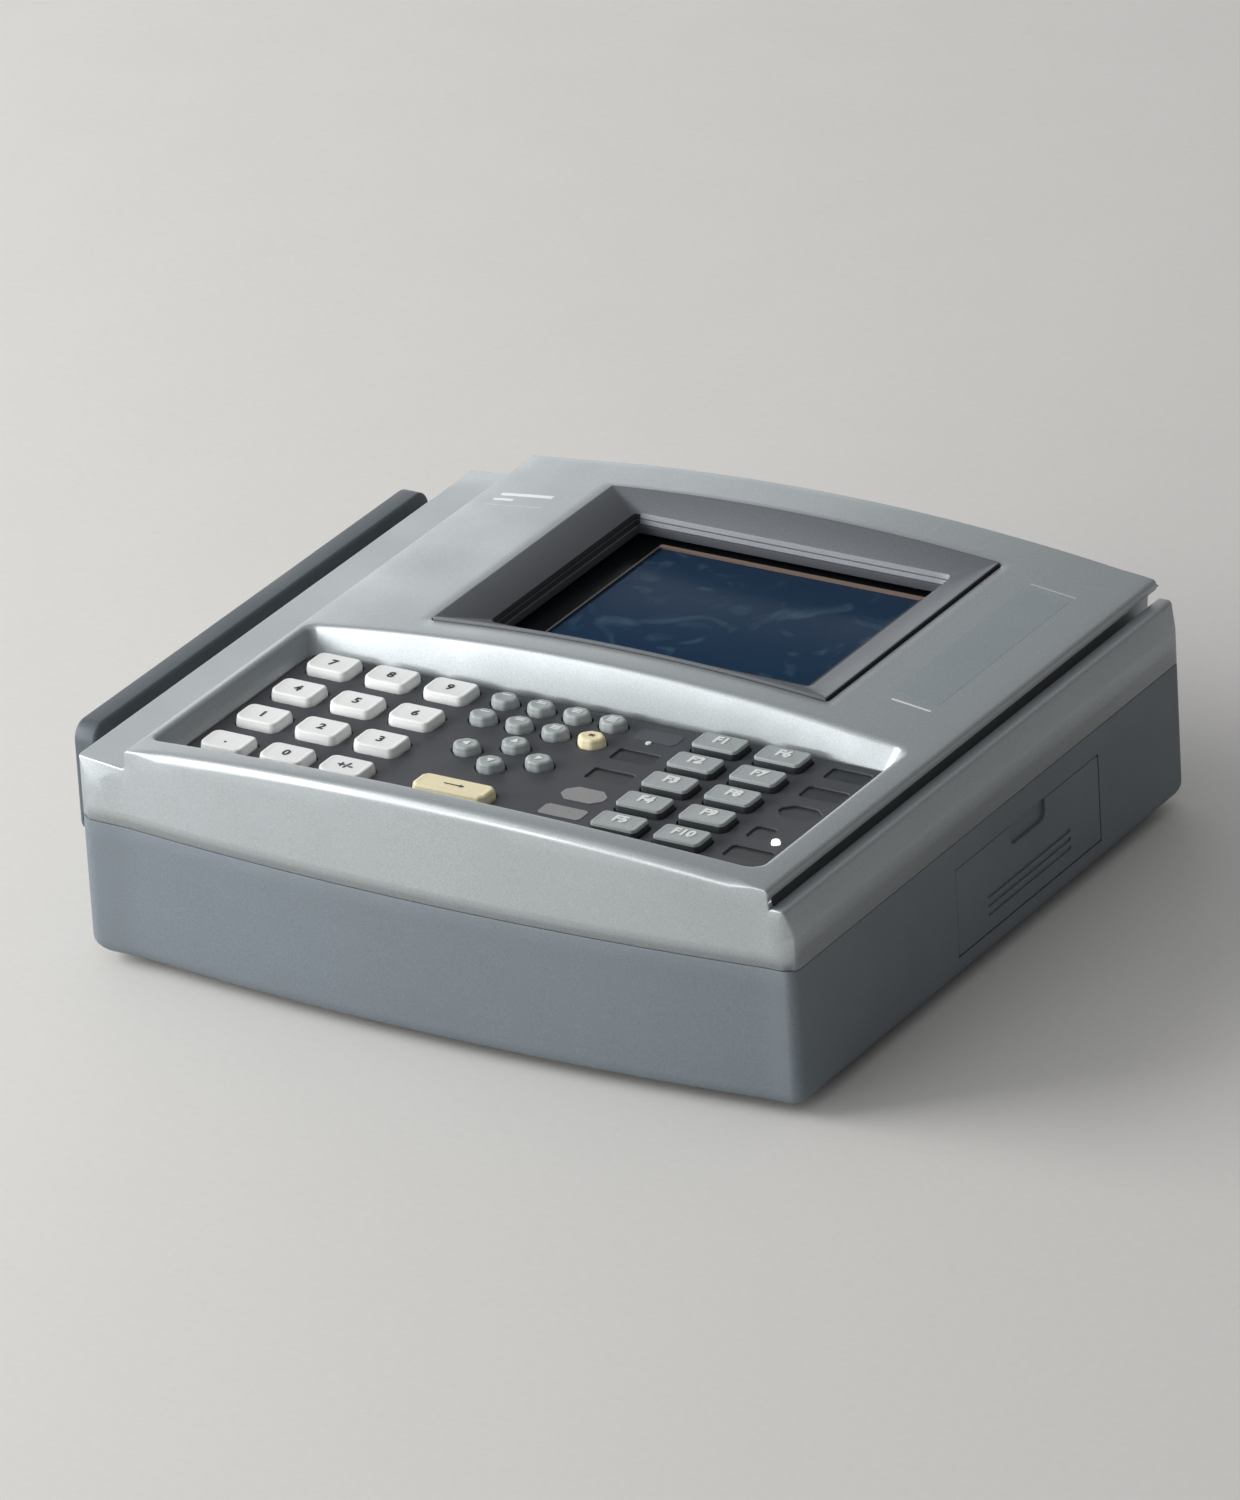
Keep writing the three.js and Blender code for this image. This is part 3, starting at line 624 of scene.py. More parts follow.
def front_line(x):
    """Y of the housing's bowed front face at x."""
    x = np.asarray(x, float)
    end = COVER_HALF - 2
    return -COVER_BACK - FRONT_BOW * np.clip(1 - (x / end) ** 2, 0, None) + corner_rounding(x)


def back_line(x):
    """Y of the housing's back face at x; the left strip ends 3 mm before the cover."""
    x = np.asarray(x, float)
    return COVER_BACK - 3 * np.clip(COVER_LEFT - x, 0, 1) - corner_rounding(x)


def cover_section():
    """The cover across X, from the left wall's foot to the right one, and where its crown begins and ends."""
    groove_z = EDGE_Z - GROOVE_DEPTH
    left = [(STRIP_X, SPLIT_Z), (STRIP_X, SHOULDER_Z), (COVER_LEFT, SHOULDER_Z),
            (COVER_LEFT, float(crown(COVER_LEFT))), (-100, float(crown(-100)))]
    right = [(100, float(crown(100))), (COVER_HALF, EDGE_Z), (COVER_HALF - 0.2, EDGE_Z - LIP),
             (GROOVE_LEFT + 0.7, EDGE_Z - LIP - 1.2), (GROOVE_LEFT, groove_z), (RAIL_LEFT, groove_z),
             (RAIL_LEFT, SHOULDER_Z), (RAIL_RIGHT, SHOULDER_Z), (HOUSING_RIGHT, groove_z - 1),
             (HOUSING_RIGHT, SPLIT_Z)]
    left = fillet_path(left, [0, 0.9, 1.2, 2.0, 0])[:-1]
    right = fillet_path(right, [0, 3.0, 0.4, 0.8, 1.4, 1.4, 0.9, 1.6, 6, 0])[1:]
    xs = np.linspace(left[-1][0], right[0][0], 62)[1:-1]
    middle = [np.array([x, float(crown(x))]) for x in xs]
    return np.array(left + middle + right), len(left) - 1, len(left) + len(middle)


def close_groove(path):
    """The section at the cover's front, where a thin wall runs from the cover's edge down to the rail."""
    path = path.copy()
    x, z = path.T
    in_groove = (x > GROOVE_LEFT - 0.2) & (x < RAIL_LEFT + 0.7) & (z < EDGE_Z - LIP)
    upper = (RAIL_LEFT - 0.3, EDGE_Z - LIP - 0.1)
    lower = (RAIL_LEFT, SHOULDER_Z - 0.3)
    path[in_groove] = np.linspace(upper, lower, in_groove.sum())
    return path


def path_normals(path):
    """Outward normals of a line that runs over the top from left to right."""
    ahead = np.vstack([path[1:], path[-1:]]) - np.vstack([path[:1], path[:-1]])
    ahead = unit(ahead)
    return np.stack([-ahead[:, 1], ahead[:, 0]], 1)


def end_radius(x, most):
    """How far the front or back edge is rounded at x: most in the middle, least outside the raised cover."""
    inner = np.clip((np.minimum(x - COVER_LEFT, COVER_HALF - x) - 4) / 9, 0, 1)
    return SIDE_ROUND + (most - SIDE_ROUND) * inner


def recess_ring(corners, radii, bow):
    """An outline of the keypad recess; its front edge bulges like the housing's front."""
    flat = outline(corners, radii, 0, RING_ARC, RING_EDGE)
    front = min(c[1] for c in corners)
    left, right = min(c[0] for c in corners), max(c[0] for c in corners)
    u = (flat[:, 0] - (left + right) / 2) / ((right - left) / 2)
    weight = np.clip((front + 12 - flat[:, 1]) / 12, 0, 1)
    flat[:, 1] -= bow * np.clip(1 - u ** 2, 0, None) * weight
    return flat


def loop_normals(flat):
    """Outward normals of a counter-clockwise loop."""
    ahead = unit(np.roll(flat, -1, 0) - np.roll(flat, 1, 0))
    return np.stack([ahead[:, 1], -ahead[:, 0]], 1)


def grid_inside(loops, step_x, step_y, clear):
    """Grid points in the region between the loops and well away from their lines."""
    every = np.vstack(loops)
    xs = np.arange(every[:, 0].min() + step_x, every[:, 0].max(), step_x)
    ys = np.arange(every[:, 1].min() + step_y, every[:, 1].max(), step_y)
    points = np.array([(x, y) for x in xs for y in ys])
    points = points[inside_loops(points, loops)]
    free = np.ones(len(points), bool)
    for loop in loops:
        for a, b in zip(loop, np.roll(loop, -1, 0)):
            along = b - a
            t = np.clip(((points - a) @ along) / max(float(along @ along), 1e-9), 0, 1)
            free &= np.linalg.norm(points - (a + t[:, None] * along), axis=1) > clear
    return points[free]


def section_ring(shape, path, y):
    """The cover's section, standing at y."""
    return shape.ring(np.column_stack([path[:, 0], y, path[:, 1]]))


def round_end(shape, ring, section, line, radii, sign):
    """Rounds the skin's front or back edge from its last ring, and fills the face below."""
    steps = 5
    normals = path_normals(section)
    for k in range(1, steps + 1):
        t = math.pi / 2 * k / steps
        flat = section - normals * (radii * (1 - math.cos(t)))[:, None]
        after = section_ring(shape, flat, line(flat[:, 0]) + sign * radii * (1 - math.sin(t)))
        shape.bridge(ring, after, closed=False)
        ring = after
    xs = np.linspace(shape.points[ring[-1]][0], shape.points[ring[0]][0], 66)[1:-1]
    loop = ring + shape.ring([(x, float(line(x)), SPLIT_Z) for x in xs])
    flat_loop = np.array([(shape.points[i][0], shape.points[i][2]) for i in loop])
    inner = grid_inside([flat_loop], 3.7, 5.0, 1.0)
    extra = shape.ring([(x, float(line(x)), z) for x, z in inner])
    shape.cap([loop], extra, flat=lambda p: (p[0], p[2]))


def recess_foot():
    """The outline where the keypad recess meets its panel."""
    return recess_ring(RECESS_FOOT, RECESS_FOOT_R, FOOT_BOW)


def recess_wall(shape):
    """The wall of the keypad recess, rounded over into the crown; gives its ring on the crown."""
    top = recess_ring(RECESS_TOP, RECESS_TOP_R, RECESS_BOW)
    foot = recess_foot()
    radius = (1.6 + 0.2 * np.clip((top[:, 1] + 40) / 20, 0, 1))[:, None]
    lip = top + loop_normals(top) * radius
    rings = [shape.level(lip, crown(lip[:, 0]))]
    start = np.column_stack([lip, crown(lip[:, 0])])
    corner = np.column_stack([top, crown(top[:, 0])])
    end = np.column_stack([foot, np.full(len(foot), PANEL_Z - 2.8)])
    turn = corner + unit(end - corner) * radius
    steps = 7
    for k in range(1, steps + 1):
        t = k / steps
        rings.append(shape.ring(start * (1 - t) ** 2 + corner * 2 * t * (1 - t) + turn * t ** 2))
    rings += [shape.ring(turn + (end - turn) * t) for t in (0.35, 0.7, 1.0)]
    shape.loft(rings)
    return rings[0]


def bezel_seat(shape):
    """The opening for the bezel, with a small radius on its edge; gives its ring on the crown."""
    rings = []
    for clear, drop in ((1.0, 0.0), (0.7, 0.12), (0.5, 0.5)):
        flat = outline(BEZEL, 1.0, -clear, 4, RING_EDGE)
        rings.append(shape.level(flat, crown(flat[:, 0]) - drop))
    rings.append(shape.level(flat, WINDOW_Z - 3.5))
    shape.loft(rings)
    return rings[0]


def front_cover():
    """The upper case: a skin with its recess and its bezel opening, which is then given a wall."""
    shape = Shape()
    path, first, last = cover_section()
    front_path = close_groove(path)
    front_radii = end_radius(path[:, 0], FRONT_ROUND)
    back_radii = end_radius(path[:, 0], BACK_ROUND)
    y0 = front_line(path[:, 0]) + front_radii
    y1 = back_line(path[:, 0]) - back_radii
    rings = [section_ring(shape, front_path, y0), section_ring(shape, front_path, y0 + GROOVE_WALL),
             section_ring(shape, path, y0 + GROOVE_WALL + 0.6)]
    rings += [section_ring(shape, path, y0 + (y1 - y0) * k / STATIONS) for k in range(1, STATIONS + 1)]
    # The sides are plain strips; the crown between them is filled separately, around its two holes.
    for a, b in zip(rings, rings[1:]):
        shape.bridge(a[:first + 1], b[:first + 1], closed=False)
        shape.bridge(a[last:], b[last:], closed=False)
    round_end(shape, rings[0], front_path, front_line, front_radii, 1)
    round_end(shape, rings[-1], path, back_line, back_radii, -1)
    edge = rings[0][first:last + 1] + [r[last] for r in rings[1:-1]]
    edge += rings[-1][first:last + 1][::-1] + [r[first] for r in rings[-2:0:-1]]
    loops = [edge, recess_wall(shape), bezel_seat(shape)]
    flat_loops = [np.array([shape.points[i][:2] for i in loop]) for loop in loops]
    inner = grid_inside(flat_loops, 4.0, 6.0, 1.4)
    shape.cap(loops, shape.level(inner, crown(inner[:, 0])))
    obj = make("front_cover_shell", shape, "housing", replaces="front_cover", sharp=38)
    face_up(obj)
    wall = obj.modifiers.new("wall", "SOLIDIFY")
    wall.thickness = COVER_WALL * MM
    wall.offset = -1
    wall.use_even_offset = False
    settle(obj)


def face_up(obj):
    """Makes the skin's faces point out, judged by those of the crown."""
    mesh = obj.data
    total = sum(p.normal.z * p.area for p in mesh.polygons if p.center.z > (EDGE_Z + 1) * MM)
    if total < 0:
        mesh.flip_normals()


# ---------------- rear cover
def housing_plan(inset):
    """Plan outline of the housing, counter-clockwise, with the bowed front."""
    quarter_left = np.linspace(0, math.pi / 2, 9)
    quarter_right = np.linspace(0, math.pi / 2, 7)[1:]
    xs = np.concatenate([
        STRIP_X + LEFT_CORNER * (1 - np.cos(quarter_left)),
        np.linspace(STRIP_X + LEFT_CORNER, HOUSING_RIGHT - RIGHT_CORNER, 62)[1:],
        HOUSING_RIGHT - RIGHT_CORNER + RIGHT_CORNER * np.sin(quarter_right),
    ])
    width = HOUSING_RIGHT - STRIP_X
    shifted = STRIP_X + inset + (xs - STRIP_X) * (width - 2 * inset) / width
    front = np.column_stack([shifted, front_line(xs) + inset])
    back = np.column_stack([shifted, back_line(xs) - inset])[::-1]
    return np.vstack([front, back])


DOOR = (-24.0, 66.0, 11.0, 41.0)  # front, back, bottom and top of its opening
SCREW_WELLS = [(-116, -84), (-116, 78), (108, -84), (108, 78), (-10, -104), (-10, 100)]
RF_X = (-70.0, -22.0)
PORT_Z = 27.0
POWER_X = 28.0
DATA_X = 74.0


def tray_profile():
    """(height, inset) of the tray's skin: up the outside, over the tongue and down the inside."""
    top = SPLIT_Z - GAP
    wall = 2.5
    corner = 5.5
    profile = [(FLOOR_Z + corner * (1 - math.sin(t)), corner * (1 - math.cos(t)))
               for t in np.linspace(math.pi / 2, 0, 8)]
    profile += [(z, 0.0) for z in (20, 32, 44, top - 0.5)] + [(top - 0.12, 0.12), (top, 0.5), (top, 2.8)]
    profile += [(top + 2.6, 2.8), (top + 2.9, 3.1), (top + 2.9, 4.0), (top + 2.6, 4.3), (top - 4, 4.3)]
    profile += [(top - 6, wall), (20, wall), (FLOOR_Z + corner, wall)]
    profile += [(FLOOR_Z + wall + 1, wall + 1.4), (FLOOR_Z + wall, corner)]
    return profile


def tray_openings():
    """What is cut out of the tray: door, ports, screw wells, vents, speaker slots and rating plate pocket."""
    deep = COVER_BACK - 8
    out = COVER_BACK + 2
    below = FLOOR_Z - 1
    tools = [block(HOUSING_RIGHT - 8, HOUSING_RIGHT + 2, *DOOR)]
    tools += [rod(x, PORT_Z, 8.0, deep, out) for x in RF_X]
    tools.append(rod(POWER_X, PORT_Z, 6.0, deep, out))
    tools.append(block(DATA_X - 10, DATA_X + 10, deep, out, PORT_Z - 5.5, PORT_Z + 5.5))
    tools += [post(x, y, 4.2, below, FLOOR_Z + 1.8) for x, y in SCREW_WELLS]
    for k in range(9):
        y = -76 + 4.2 * k
        tools.append(slab(rect(-76, -44, y - 0.9, y + 0.9), 0.85, below, FLOOR_Z + 4))
    for k in range(5):
        x = 94 + 4.5 * k
        tools.append(moved(slab(rect(x - 1.1, x + 1.1, 14, 40), 1.0, 0, 7), TO_FRONT, (0, out, 0)))
    tools.append(slab(rect(-30, 44, -36, 8), 2.0, below, FLOOR_Z + 0.5))
    return tools


def rear_cover():
    """The lower case: a closed shell with its openings cut out."""
    shape = Shape()
    shape.skin([shape.level(housing_plan(inset), z) for z, inset in tray_profile()])
    obj = make("rear_cover_shell", shape, "tray", replaces="rear_cover", sharp=38)
    carve(obj, tray_openings(), 38)
    dress(obj, "tray")


# ---------------- display
OPENING = rect(-55.5, 57.0, 5.0, 91.0)
LCD_AREA = rect(-43.8, 51.2, 15.0, 84.2)
BEZEL_CORNER = 0.7

# (inset, height) of the bezel's rings. The rim's heights count from the crown, those of the slope from the
# cover's side edges, and those of the foot from the window.
BEZEL_RIM = ((0, 0.55), (0.08, 0.72), (0.25, 0.8), (0.6, 0.78), (0.9, 0.66))
BEZEL_SLOPE = ((-1.85, 2.3), (-1.7, 2.1), (-1.15, 0.8), (-1.25, 0.7), (-1.25, 0.5), (-1.05, 0.4),
               (-0.5, -0.9), (-0.7, -1.05), (-0.7, -1.3), (-0.2, -1.4))
BEZEL_FOOT = ((-0.1, 1.0), (-0.3, 0.4), (-3.0, 0.4))


def bezel_painted_light(centre, normal):
    """Which of the bezel's finishes a face has: 0 the frame's, 1 a painted highlight on the back step that
    faces the front, 2 painted shade on the outer walls at the right and back and on the inner wall that faces
    right.
    """
    x, y, z = centre
    on_steps = EDGE_Z - 1.0 < z < EDGE_Z + 2.2
    if abs(normal.z) < 0.5 and (x > BEZEL[1][0] - 0.2 or y > BEZEL[2][1] - 0.2):
        return 2
    if on_steps and normal.x > 0.5 and x < OPENING[0][0] + 1:
        return 2
    if on_steps and normal.y < -0.5 and y > OPENING[2][1] - 1:
        return 1
    return 0


def display_bezel():
    """A sunk frame with mitred slopes, whose rim stands a little proud of the crowned cover."""
    shape = Shape()
    base = WINDOW_Z - 3.4

    def plan(corners, inset):
        return outline(corners, BEZEL_CORNER, inset, 4, RING_EDGE)

    rings = [shape.level(plan(OPENING, -3.0), base), shape.level(plan(BEZEL, 0), base)]
    for inset, rise in BEZEL_RIM:
        flat = plan(BEZEL, inset)
        rings.append(shape.level(flat, crown(flat[:, 0]) + rise))
    rings += [shape.level(plan(OPENING, inset), EDGE_Z + rise) for inset, rise in BEZEL_SLOPE]
    rings += [shape.level(plan(OPENING, inset), WINDOW_Z + rise) for inset, rise in BEZEL_FOOT]
    shape.loft(rings + rings[:1])
    obj = make("display_bezel_frame", shape, "bezel", replaces="display_bezel", sharp=40)
    # Painted light on the bezel: a pale painted highlight on the back step, painted shade on the walls that
    # face right or back.
    paint(obj, ("bezel_painted_highlight", "bezel_painted_shade"), bezel_painted_light)


def frame_plate(outer, inner, radius, z0, z1):
    """A flat frame between two outlines."""
    shape = Shape()
    out = [shape.level(outline(outer, radius, 0, 4), z) for z in (z0, z1)]
    into = [shape.level(outline(inner, radius, 0, 4), z) for z in (z1, z0)]
    shape.loft([out[0], out[1], into[0], into[1], out[0]])
    return shape


def display():
    """The bezel, the window behind it, and the seal round the picture."""
    display_bezel()
    reach = 2.7
    levels = [(z, inset - reach) for z, inset in rounded_levels(WINDOW_Z - 2, WINDOW_Z, 0.3, 0.3, 2)]
    make("display_glass", plate(OPENING, 1.0, levels), "window", replaces="display_window")
    (left, front), (right, back) = LCD_AREA[0], LCD_AREA[2]
    outer = rect(left - 0.8, right + 1.5, front - 1.5, back + 2.2)
    inner = rect(left, right, front, back + 0.4)
    seal = frame_plate(outer, inner, 0.8, WINDOW_Z - 0.05, WINDOW_Z + 0.6)
    obj = make("display_seal", seal, "gasket")
    # Painted shade: the seal is darker everywhere but its back strip.
    paint(obj, ("seal_painted_shade",), lambda centre, normal: int(centre[1] < back - 0.5))


# ---------------- keypad
DIGIT_KEYS = [f"key_{digit}" for digit in range(10)] + ["key_point", "key_sign"]
YELLOW_KEYS = ["key_enter", "key_select"]
KEYS = [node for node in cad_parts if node.startswith("key_")]
KEY_LIP = 1.0
KEY_CLEARANCE = 0.45
LED_HOLE = 1.9

# Sunk label fields beside the soft keys: outline and corner radius.
SUNK_FIELDS = [
    (rect(85.5, 99.3, -35.6, -28.0), 1.2),
    (rect(85.0, 99.3, -49.8, -42.0), 1.6),
    (cut_rect(92, -60.0, 14.5, 8.8, 3.4), 3.0),
    (rect(84.5, 91.8, -80.6, -72.6), 1.6),
    (rect(84.5, 99.3, -94.6, -86.6), 1.6),
    (rect(18.5, 32.8, -51.0, -43.2), 1.2),
    (rect(18.5, 32.8, -65.8, -58.0), 1.2),
]
# Fields printed on the panel, left of the soft keys.
PRINTED_FIELDS = {
    "label_left_top": (cut_rect(25.5, -32.6, 15, 7.6, 1.5), "panel_light"),
    "label_left_low": (cut_rect(25.5, -77, 15, 9, 3), "label_light"),
    "label_left_end": (cut_rect(25.5, -89.5, 15, 7, 1), "label_light"),
}


def key_plan(node):
    """A key's middle, and its size without the lip under the panel."""
    low, high = design_box(node)
    return (low[:2] + high[:2]) / 2, (high - low)[:2] - 2 * KEY_LIP


def key_corners(node):
    """A key's outline and how much each corner is rounded."""
    (cx, cy), (w, h) = key_plan(node)
    if node in DIGIT_KEYS:
        return rect(cx - w / 2, cx + w / 2, cy - h / 2, cy + h / 2), [3.8, 2.6, 2.2, 2.8]
    if node == "key_enter":
        return cut_rect(cx, cy, w, h, 2.0), 2.0
    if node.startswith("key_soft"):
        return cut_rect(cx, cy, w, h, 1.2), 1.6
    return cut_rect(cx, cy, w, h, 2.8), 2.6


def panel_holes():
    """Outlines of the panel's openings for the keys, the status light and the sunk fields."""
    holes = [outline(*key_corners(node), -KEY_CLEARANCE, 5) for node in KEYS]
    turn = np.linspace(0, 2 * math.pi, 33)[:-1]
    (led_x, led_y), _ = key_plan("status_led")
    holes.append(np.column_stack([led_x + LED_HOLE * np.cos(turn), led_y + LED_HOLE * np.sin(turn)]))
    return holes + [outline(corners, radius, 0, 5) for corners, radius in SUNK_FIELDS]


def keypad_panel():
    """The plate at the bottom of the recess; its openings have a small chamfer."""
    chamfer = 0.25
    bottom, top = PANEL_Z - 2.5, PANEL_Z
    foot = recess_foot()
    foot -= loop_normals(foot) * GAP
    shape = Shape()
    rings = [shape.level(foot, z) for z in (bottom, top)]
    shape.loft(rings)
    lows = []
    highs = []
    for hole in panel_holes():
        wide = hole + loop_normals(hole) * chamfer
        levels = [shape.level(wide, top), shape.level(hole, top - chamfer), shape.level(hole, bottom)]
        shape.loft(levels)
        highs.append(levels[0])
        lows.append(levels[-1])
    shape.cap([rings[0]] + lows)
    shape.cap([rings[1]] + highs)
    make("keypad_panel_face", shape, "panel", replaces="keypad_panel")


def key_cap(node):
    """A key with a lip under the panel, slightly tapered sides and a rounded, dished top."""
    corners, radii = key_corners(node)
    low, high = design_box(node)
    base, top = low[2], high[2]
    is_digit = node in DIGIT_KEYS
    is_soft = node.startswith("key_soft")
    edge = 0.7 if is_digit else 0.5 if is_soft else 1.1
    taper = 0.35
    levels = [(base, -KEY_LIP), (base + 1.0, -KEY_LIP), (base + 1.0, 0.0), (PANEL_Z, 0.05)]
    levels += [(top - edge - 0.6, 0.2), (top - edge - 0.5, 0.25)]
    levels += [(top - edge * (1 - math.sin(t)), taper + edge * (1 - math.cos(t)))
               for t in np.linspace(0, math.pi / 2, 6)]
    levels += [(top - 0.04, taper + edge + 0.6), (top - 0.12, taper + edge + 1.1)]
    material = "white_key" if is_digit else "yellow_key" if node in YELLOW_KEYS else "grey_key"
    shape = plate(corners, radii, levels, 5)
    obj = make(node + "_cap", shape, material, node, replaces=node, sharp=50)
    # Painted shade: the soft keys' sides are darker below their top edge.
    if is_soft:
        shade_line = top - edge - 0.35
        paint(obj, ("key_painted_shade",), lambda centre, normal: int(centre[2] < shade_line))


# ---------------- legends
LEGENDS = {"key_point": ".", "key_sign": "+/-"}
ARROW_TURN = {"key_left": 180, "key_right": 0, "key_up": 90, "key_down": 270}
INK = 0.1
INK_SINK = 0.05


def ink_place(node):
    """The middle of a key's top, where its print begins."""
    (x, y), _ = key_plan(node)
    return x, y, design_box(node)[1][2] - INK_SINK


def text_legend(node, text, rise, size, material, bold=0.015):
    """Characters on a key's top, read from the front and set this far behind its middle."""
    name = node + "_legend"
    x, y, z = ink_place(node)
    curve = bpy.data.curves.new(name, "FONT")
    curve.body = text
    curve.align_x = "CENTER"
    curve.align_y = "CENTER"
    curve.size = size * MM
    curve.extrude = INK * MM
    curve.offset = bold * size * MM
    curve.resolution_u = 3
    obj = link(name, curve)
    graph = bpy.context.evaluated_depsgraph_get()
    mesh = bpy.data.meshes.new_from_object(obj.evaluated_get(graph))
    bpy.data.objects.remove(obj)
    mesh.transform(Matrix.Translation(Vector(metres([(x, y + rise, z)])[0])))
    dress(link(name, mesh), material, node)


def legend(node):
    """The mark on one key's top."""
    x, y, z = ink_place(node)

    def ink(part, corners, radius, material):
        make(f"{node}_legend{part}", slab(corners, radius, z, z + INK), material, node)

    if node in DIGIT_KEYS:
        text_legend(node, LEGENDS.get(node, node[-1]), -0.2, 4.9, "dark_print")
    elif node.startswith("key_soft"):
        number = int(node[-1]) + (5 if "right" in node else 0)
        text_legend(node, f"F{number}", 0.9, 5.2, "white_print", 0.05)
    elif node in ARROW_TURN:
        turn = math.radians(ARROW_TURN[node])
        across, up = math.cos(turn), math.sin(turn)
        arrow = [(-0.9, -1.4), (-0.9, 1.4), (1.5, 0.0)]
        ink("", [(x + a * across - b * up, y + a * up + b * across) for a, b in arrow], 0.2, "white_print")
    elif node == "key_enter":
        ink("", rect(x - 3.4, x + 2.4, y - 0.2, y + 0.2), 0.1, "dark_print")
        ink("_tip", [(x + 3.8, y), (x + 2.2, y + 0.8), (x + 2.2, y - 0.8)], 0.1, "dark_print")
    elif node == "key_select":
        text_legend(node, "=", 0, 3.6, "dark_print")
    else:
        for k in range(int(node[-1])):
            middle = y + 1.2 - k * 0.9
            ink(f"_{k}", rect(x - 1.6, x + 1.6, middle - 0.22, middle + 0.22), 0.05, "white_print")


def keypad():
    """The panel, its keys with their legends, the status light and the label fields."""
    keypad_panel()
    for node in KEYS:
        key_cap(node)
        legend(node)
    (led_x, led_y), _ = key_plan("status_led")
    low, high = design_box("status_led")
    profile = [(0, low[2]), (1.45, low[2]), (1.45, PANEL_Z + 0.2), (1.2, PANEL_Z + 0.8)]
    profile += [(0.6, high[2] - 0.1), (0, high[2])]
    lens = lathe(profile, (led_x, led_y, 0), segments=24)
    make("status_led_lens", lens, "lens", replaces="status_led")
    for k, (corners, radius) in enumerate(SUNK_FIELDS):
        field = plate(corners, radius, [(PANEL_Z - 1.4, 0.02), (PANEL_Z - 0.55, 0.02)], 5)
        make(f"label_field_{k}", field, "label")
    for name, (corners, material) in PRINTED_FIELDS.items():
        make(name, slab(corners, 0.8, PANEL_Z - 0.1, PANEL_Z + 0.12), material)
    profile = [(0, PANEL_Z), (1.0, PANEL_Z), (0.9, PANEL_Z + 0.4), (0, PANEL_Z + 0.4)]
    make("label_dot", lathe(profile, (24.7, -37.4, 0), segments=20), "white_print")


# ---------------- prints on the cover
# Left, right, front, back, height above the crown, and finish.
COVER_PRINTS = {
    "cover_mark_1": (-105, -85.5, 87.2, 89.2, 0.05, "white_print"),
    "cover_mark_2": (-105.5, -98, 83.4, 84.8, 0.05, "white_print"),
    "cover_mark_3": (-106.4, -84.5, 79.2, 79.9, 0.05, "pale_print"),
    "cover_line_back": (86, 102, 93.9, 94.5, 0.05, "pale_print"),
    "cover_line_front": (87.6, 101.4, 3.7, 4.5, 0.05, "white_print"),
    "cover_column": (85.5, 101.5, 9, 91, 0.03, "blue_print"),
}


def crowned_patch(x0, x1, y0, y1, proud):
    """A thin printed patch that follows the crown."""
    shape = Shape()
    xs = np.linspace(x0, x1, max(3, int((x1 - x0) / 2)))
    low0, high0, low1, high1 = [
        shape.ring([(x, y, float(crown(x)) + rise) for x in xs]) for y in (y0, y1) for rise in (-0.2, proud)]
    for a, b in ((high0, high1), (low1, low0), (low0, high0), (high1, low1)):
        shape.bridge(a, b, closed=False)
    for k in (0, -1):
        shape.faces.append([low0[k], high0[k], high1[k], low1[k]])
    return shape


def cover_prints():
    """Plain bars and lines where the cover carries print."""
    for name, (*place, material) in COVER_PRINTS.items():
        make(name, crowned_patch(*place), material)


# ---------------- handle and brackets
PIVOT_X = -142.6
PIVOT_Z = 38.0
PIN_REACH = 8


def carry_handle():
    """A flat bail: a long bar with a leg at each end."""
    low, high = design_box("carry_handle")
    _, front, bottom = low
    _, back, top = high
    leg = 10
    corners = [(front, bottom), (front + leg, bottom), (front + leg, top - leg), (back - leg, top - leg),
               (back - leg, bottom), (back, bottom), (back, top), (front, top)]
    radii = [3.5, 3.5, 5, 5, 3.5, 3.5, 6, 6]
    middle = (low[0] + high[0]) / 2
    half = (high[0] - low[0]) / 2
    shape = plate(corners, radii, rounded_levels(-half, half, 1.2, 1.2, 5), 8, 10)
    make("handle_bar", moved(shape, TO_RIGHT, (middle, 0, 0)), "handle", "carry_handle",
         replaces="carry_handle", sharp=45)
    # Caps over the pin bores, on the outer faces of the legs.
    profile = [(0, 0.5), (2.4, 0.45), (2.6, 0.2), (2.6, -0.5), (0, -0.5)]
    for name, y, sign in (("front", front, -1), ("back", back, 1)):
        cap = lathe([(r, y + sign * h) for r, h in profile], (middle, 0, PIVOT_Z), "Y", 24)
        make(f"handle_cap_{name}", cap, "black_plastic", "carry_handle")


def bracket(name, side):
    """A lug on the left wall, and the pin that reaches from it into the handle's leg."""
    low, high = design_box(name)
    wall = high[0]
    front = low[1] + (PIN_REACH if side < 0 else 0)
    back = high[1] - (PIN_REACH if side > 0 else 0)
    nose = [(PIVOT_X + 5 * math.cos(t), PIVOT_Z + 5 * math.sin(t))
            for t in np.linspace(math.pi / 2, 1.5 * math.pi, 13)]
    corners = [(wall, PIVOT_Z + 11), (wall - 2.5, PIVOT_Z + 11)] + nose
    corners += [(wall - 2.5, PIVOT_Z - 11), (wall, PIVOT_Z - 11)]
    radii = [0.5, 1.0] + [0.1] * len(nose) + [1.0, 0.5]
    lug = plate(corners, radii, rounded_levels(0, back - front, 0.7, 0.7, 3), 2)
    make(f"{name}_lug", moved(lug, TO_FRONT, (0, back, 0)), "handle", replaces=name, sharp=40)
    y0, y1 = low[1], high[1]
    profile = [(0, y0), (1.3, y0), (1.6, y0 + 0.3), (1.6, y1 - 0.3), (1.3, y1), (0, y1)]
    make(f"{name}_pin", lathe(profile, (PIVOT_X, 0, PIVOT_Z), "Y", 24), "steel")


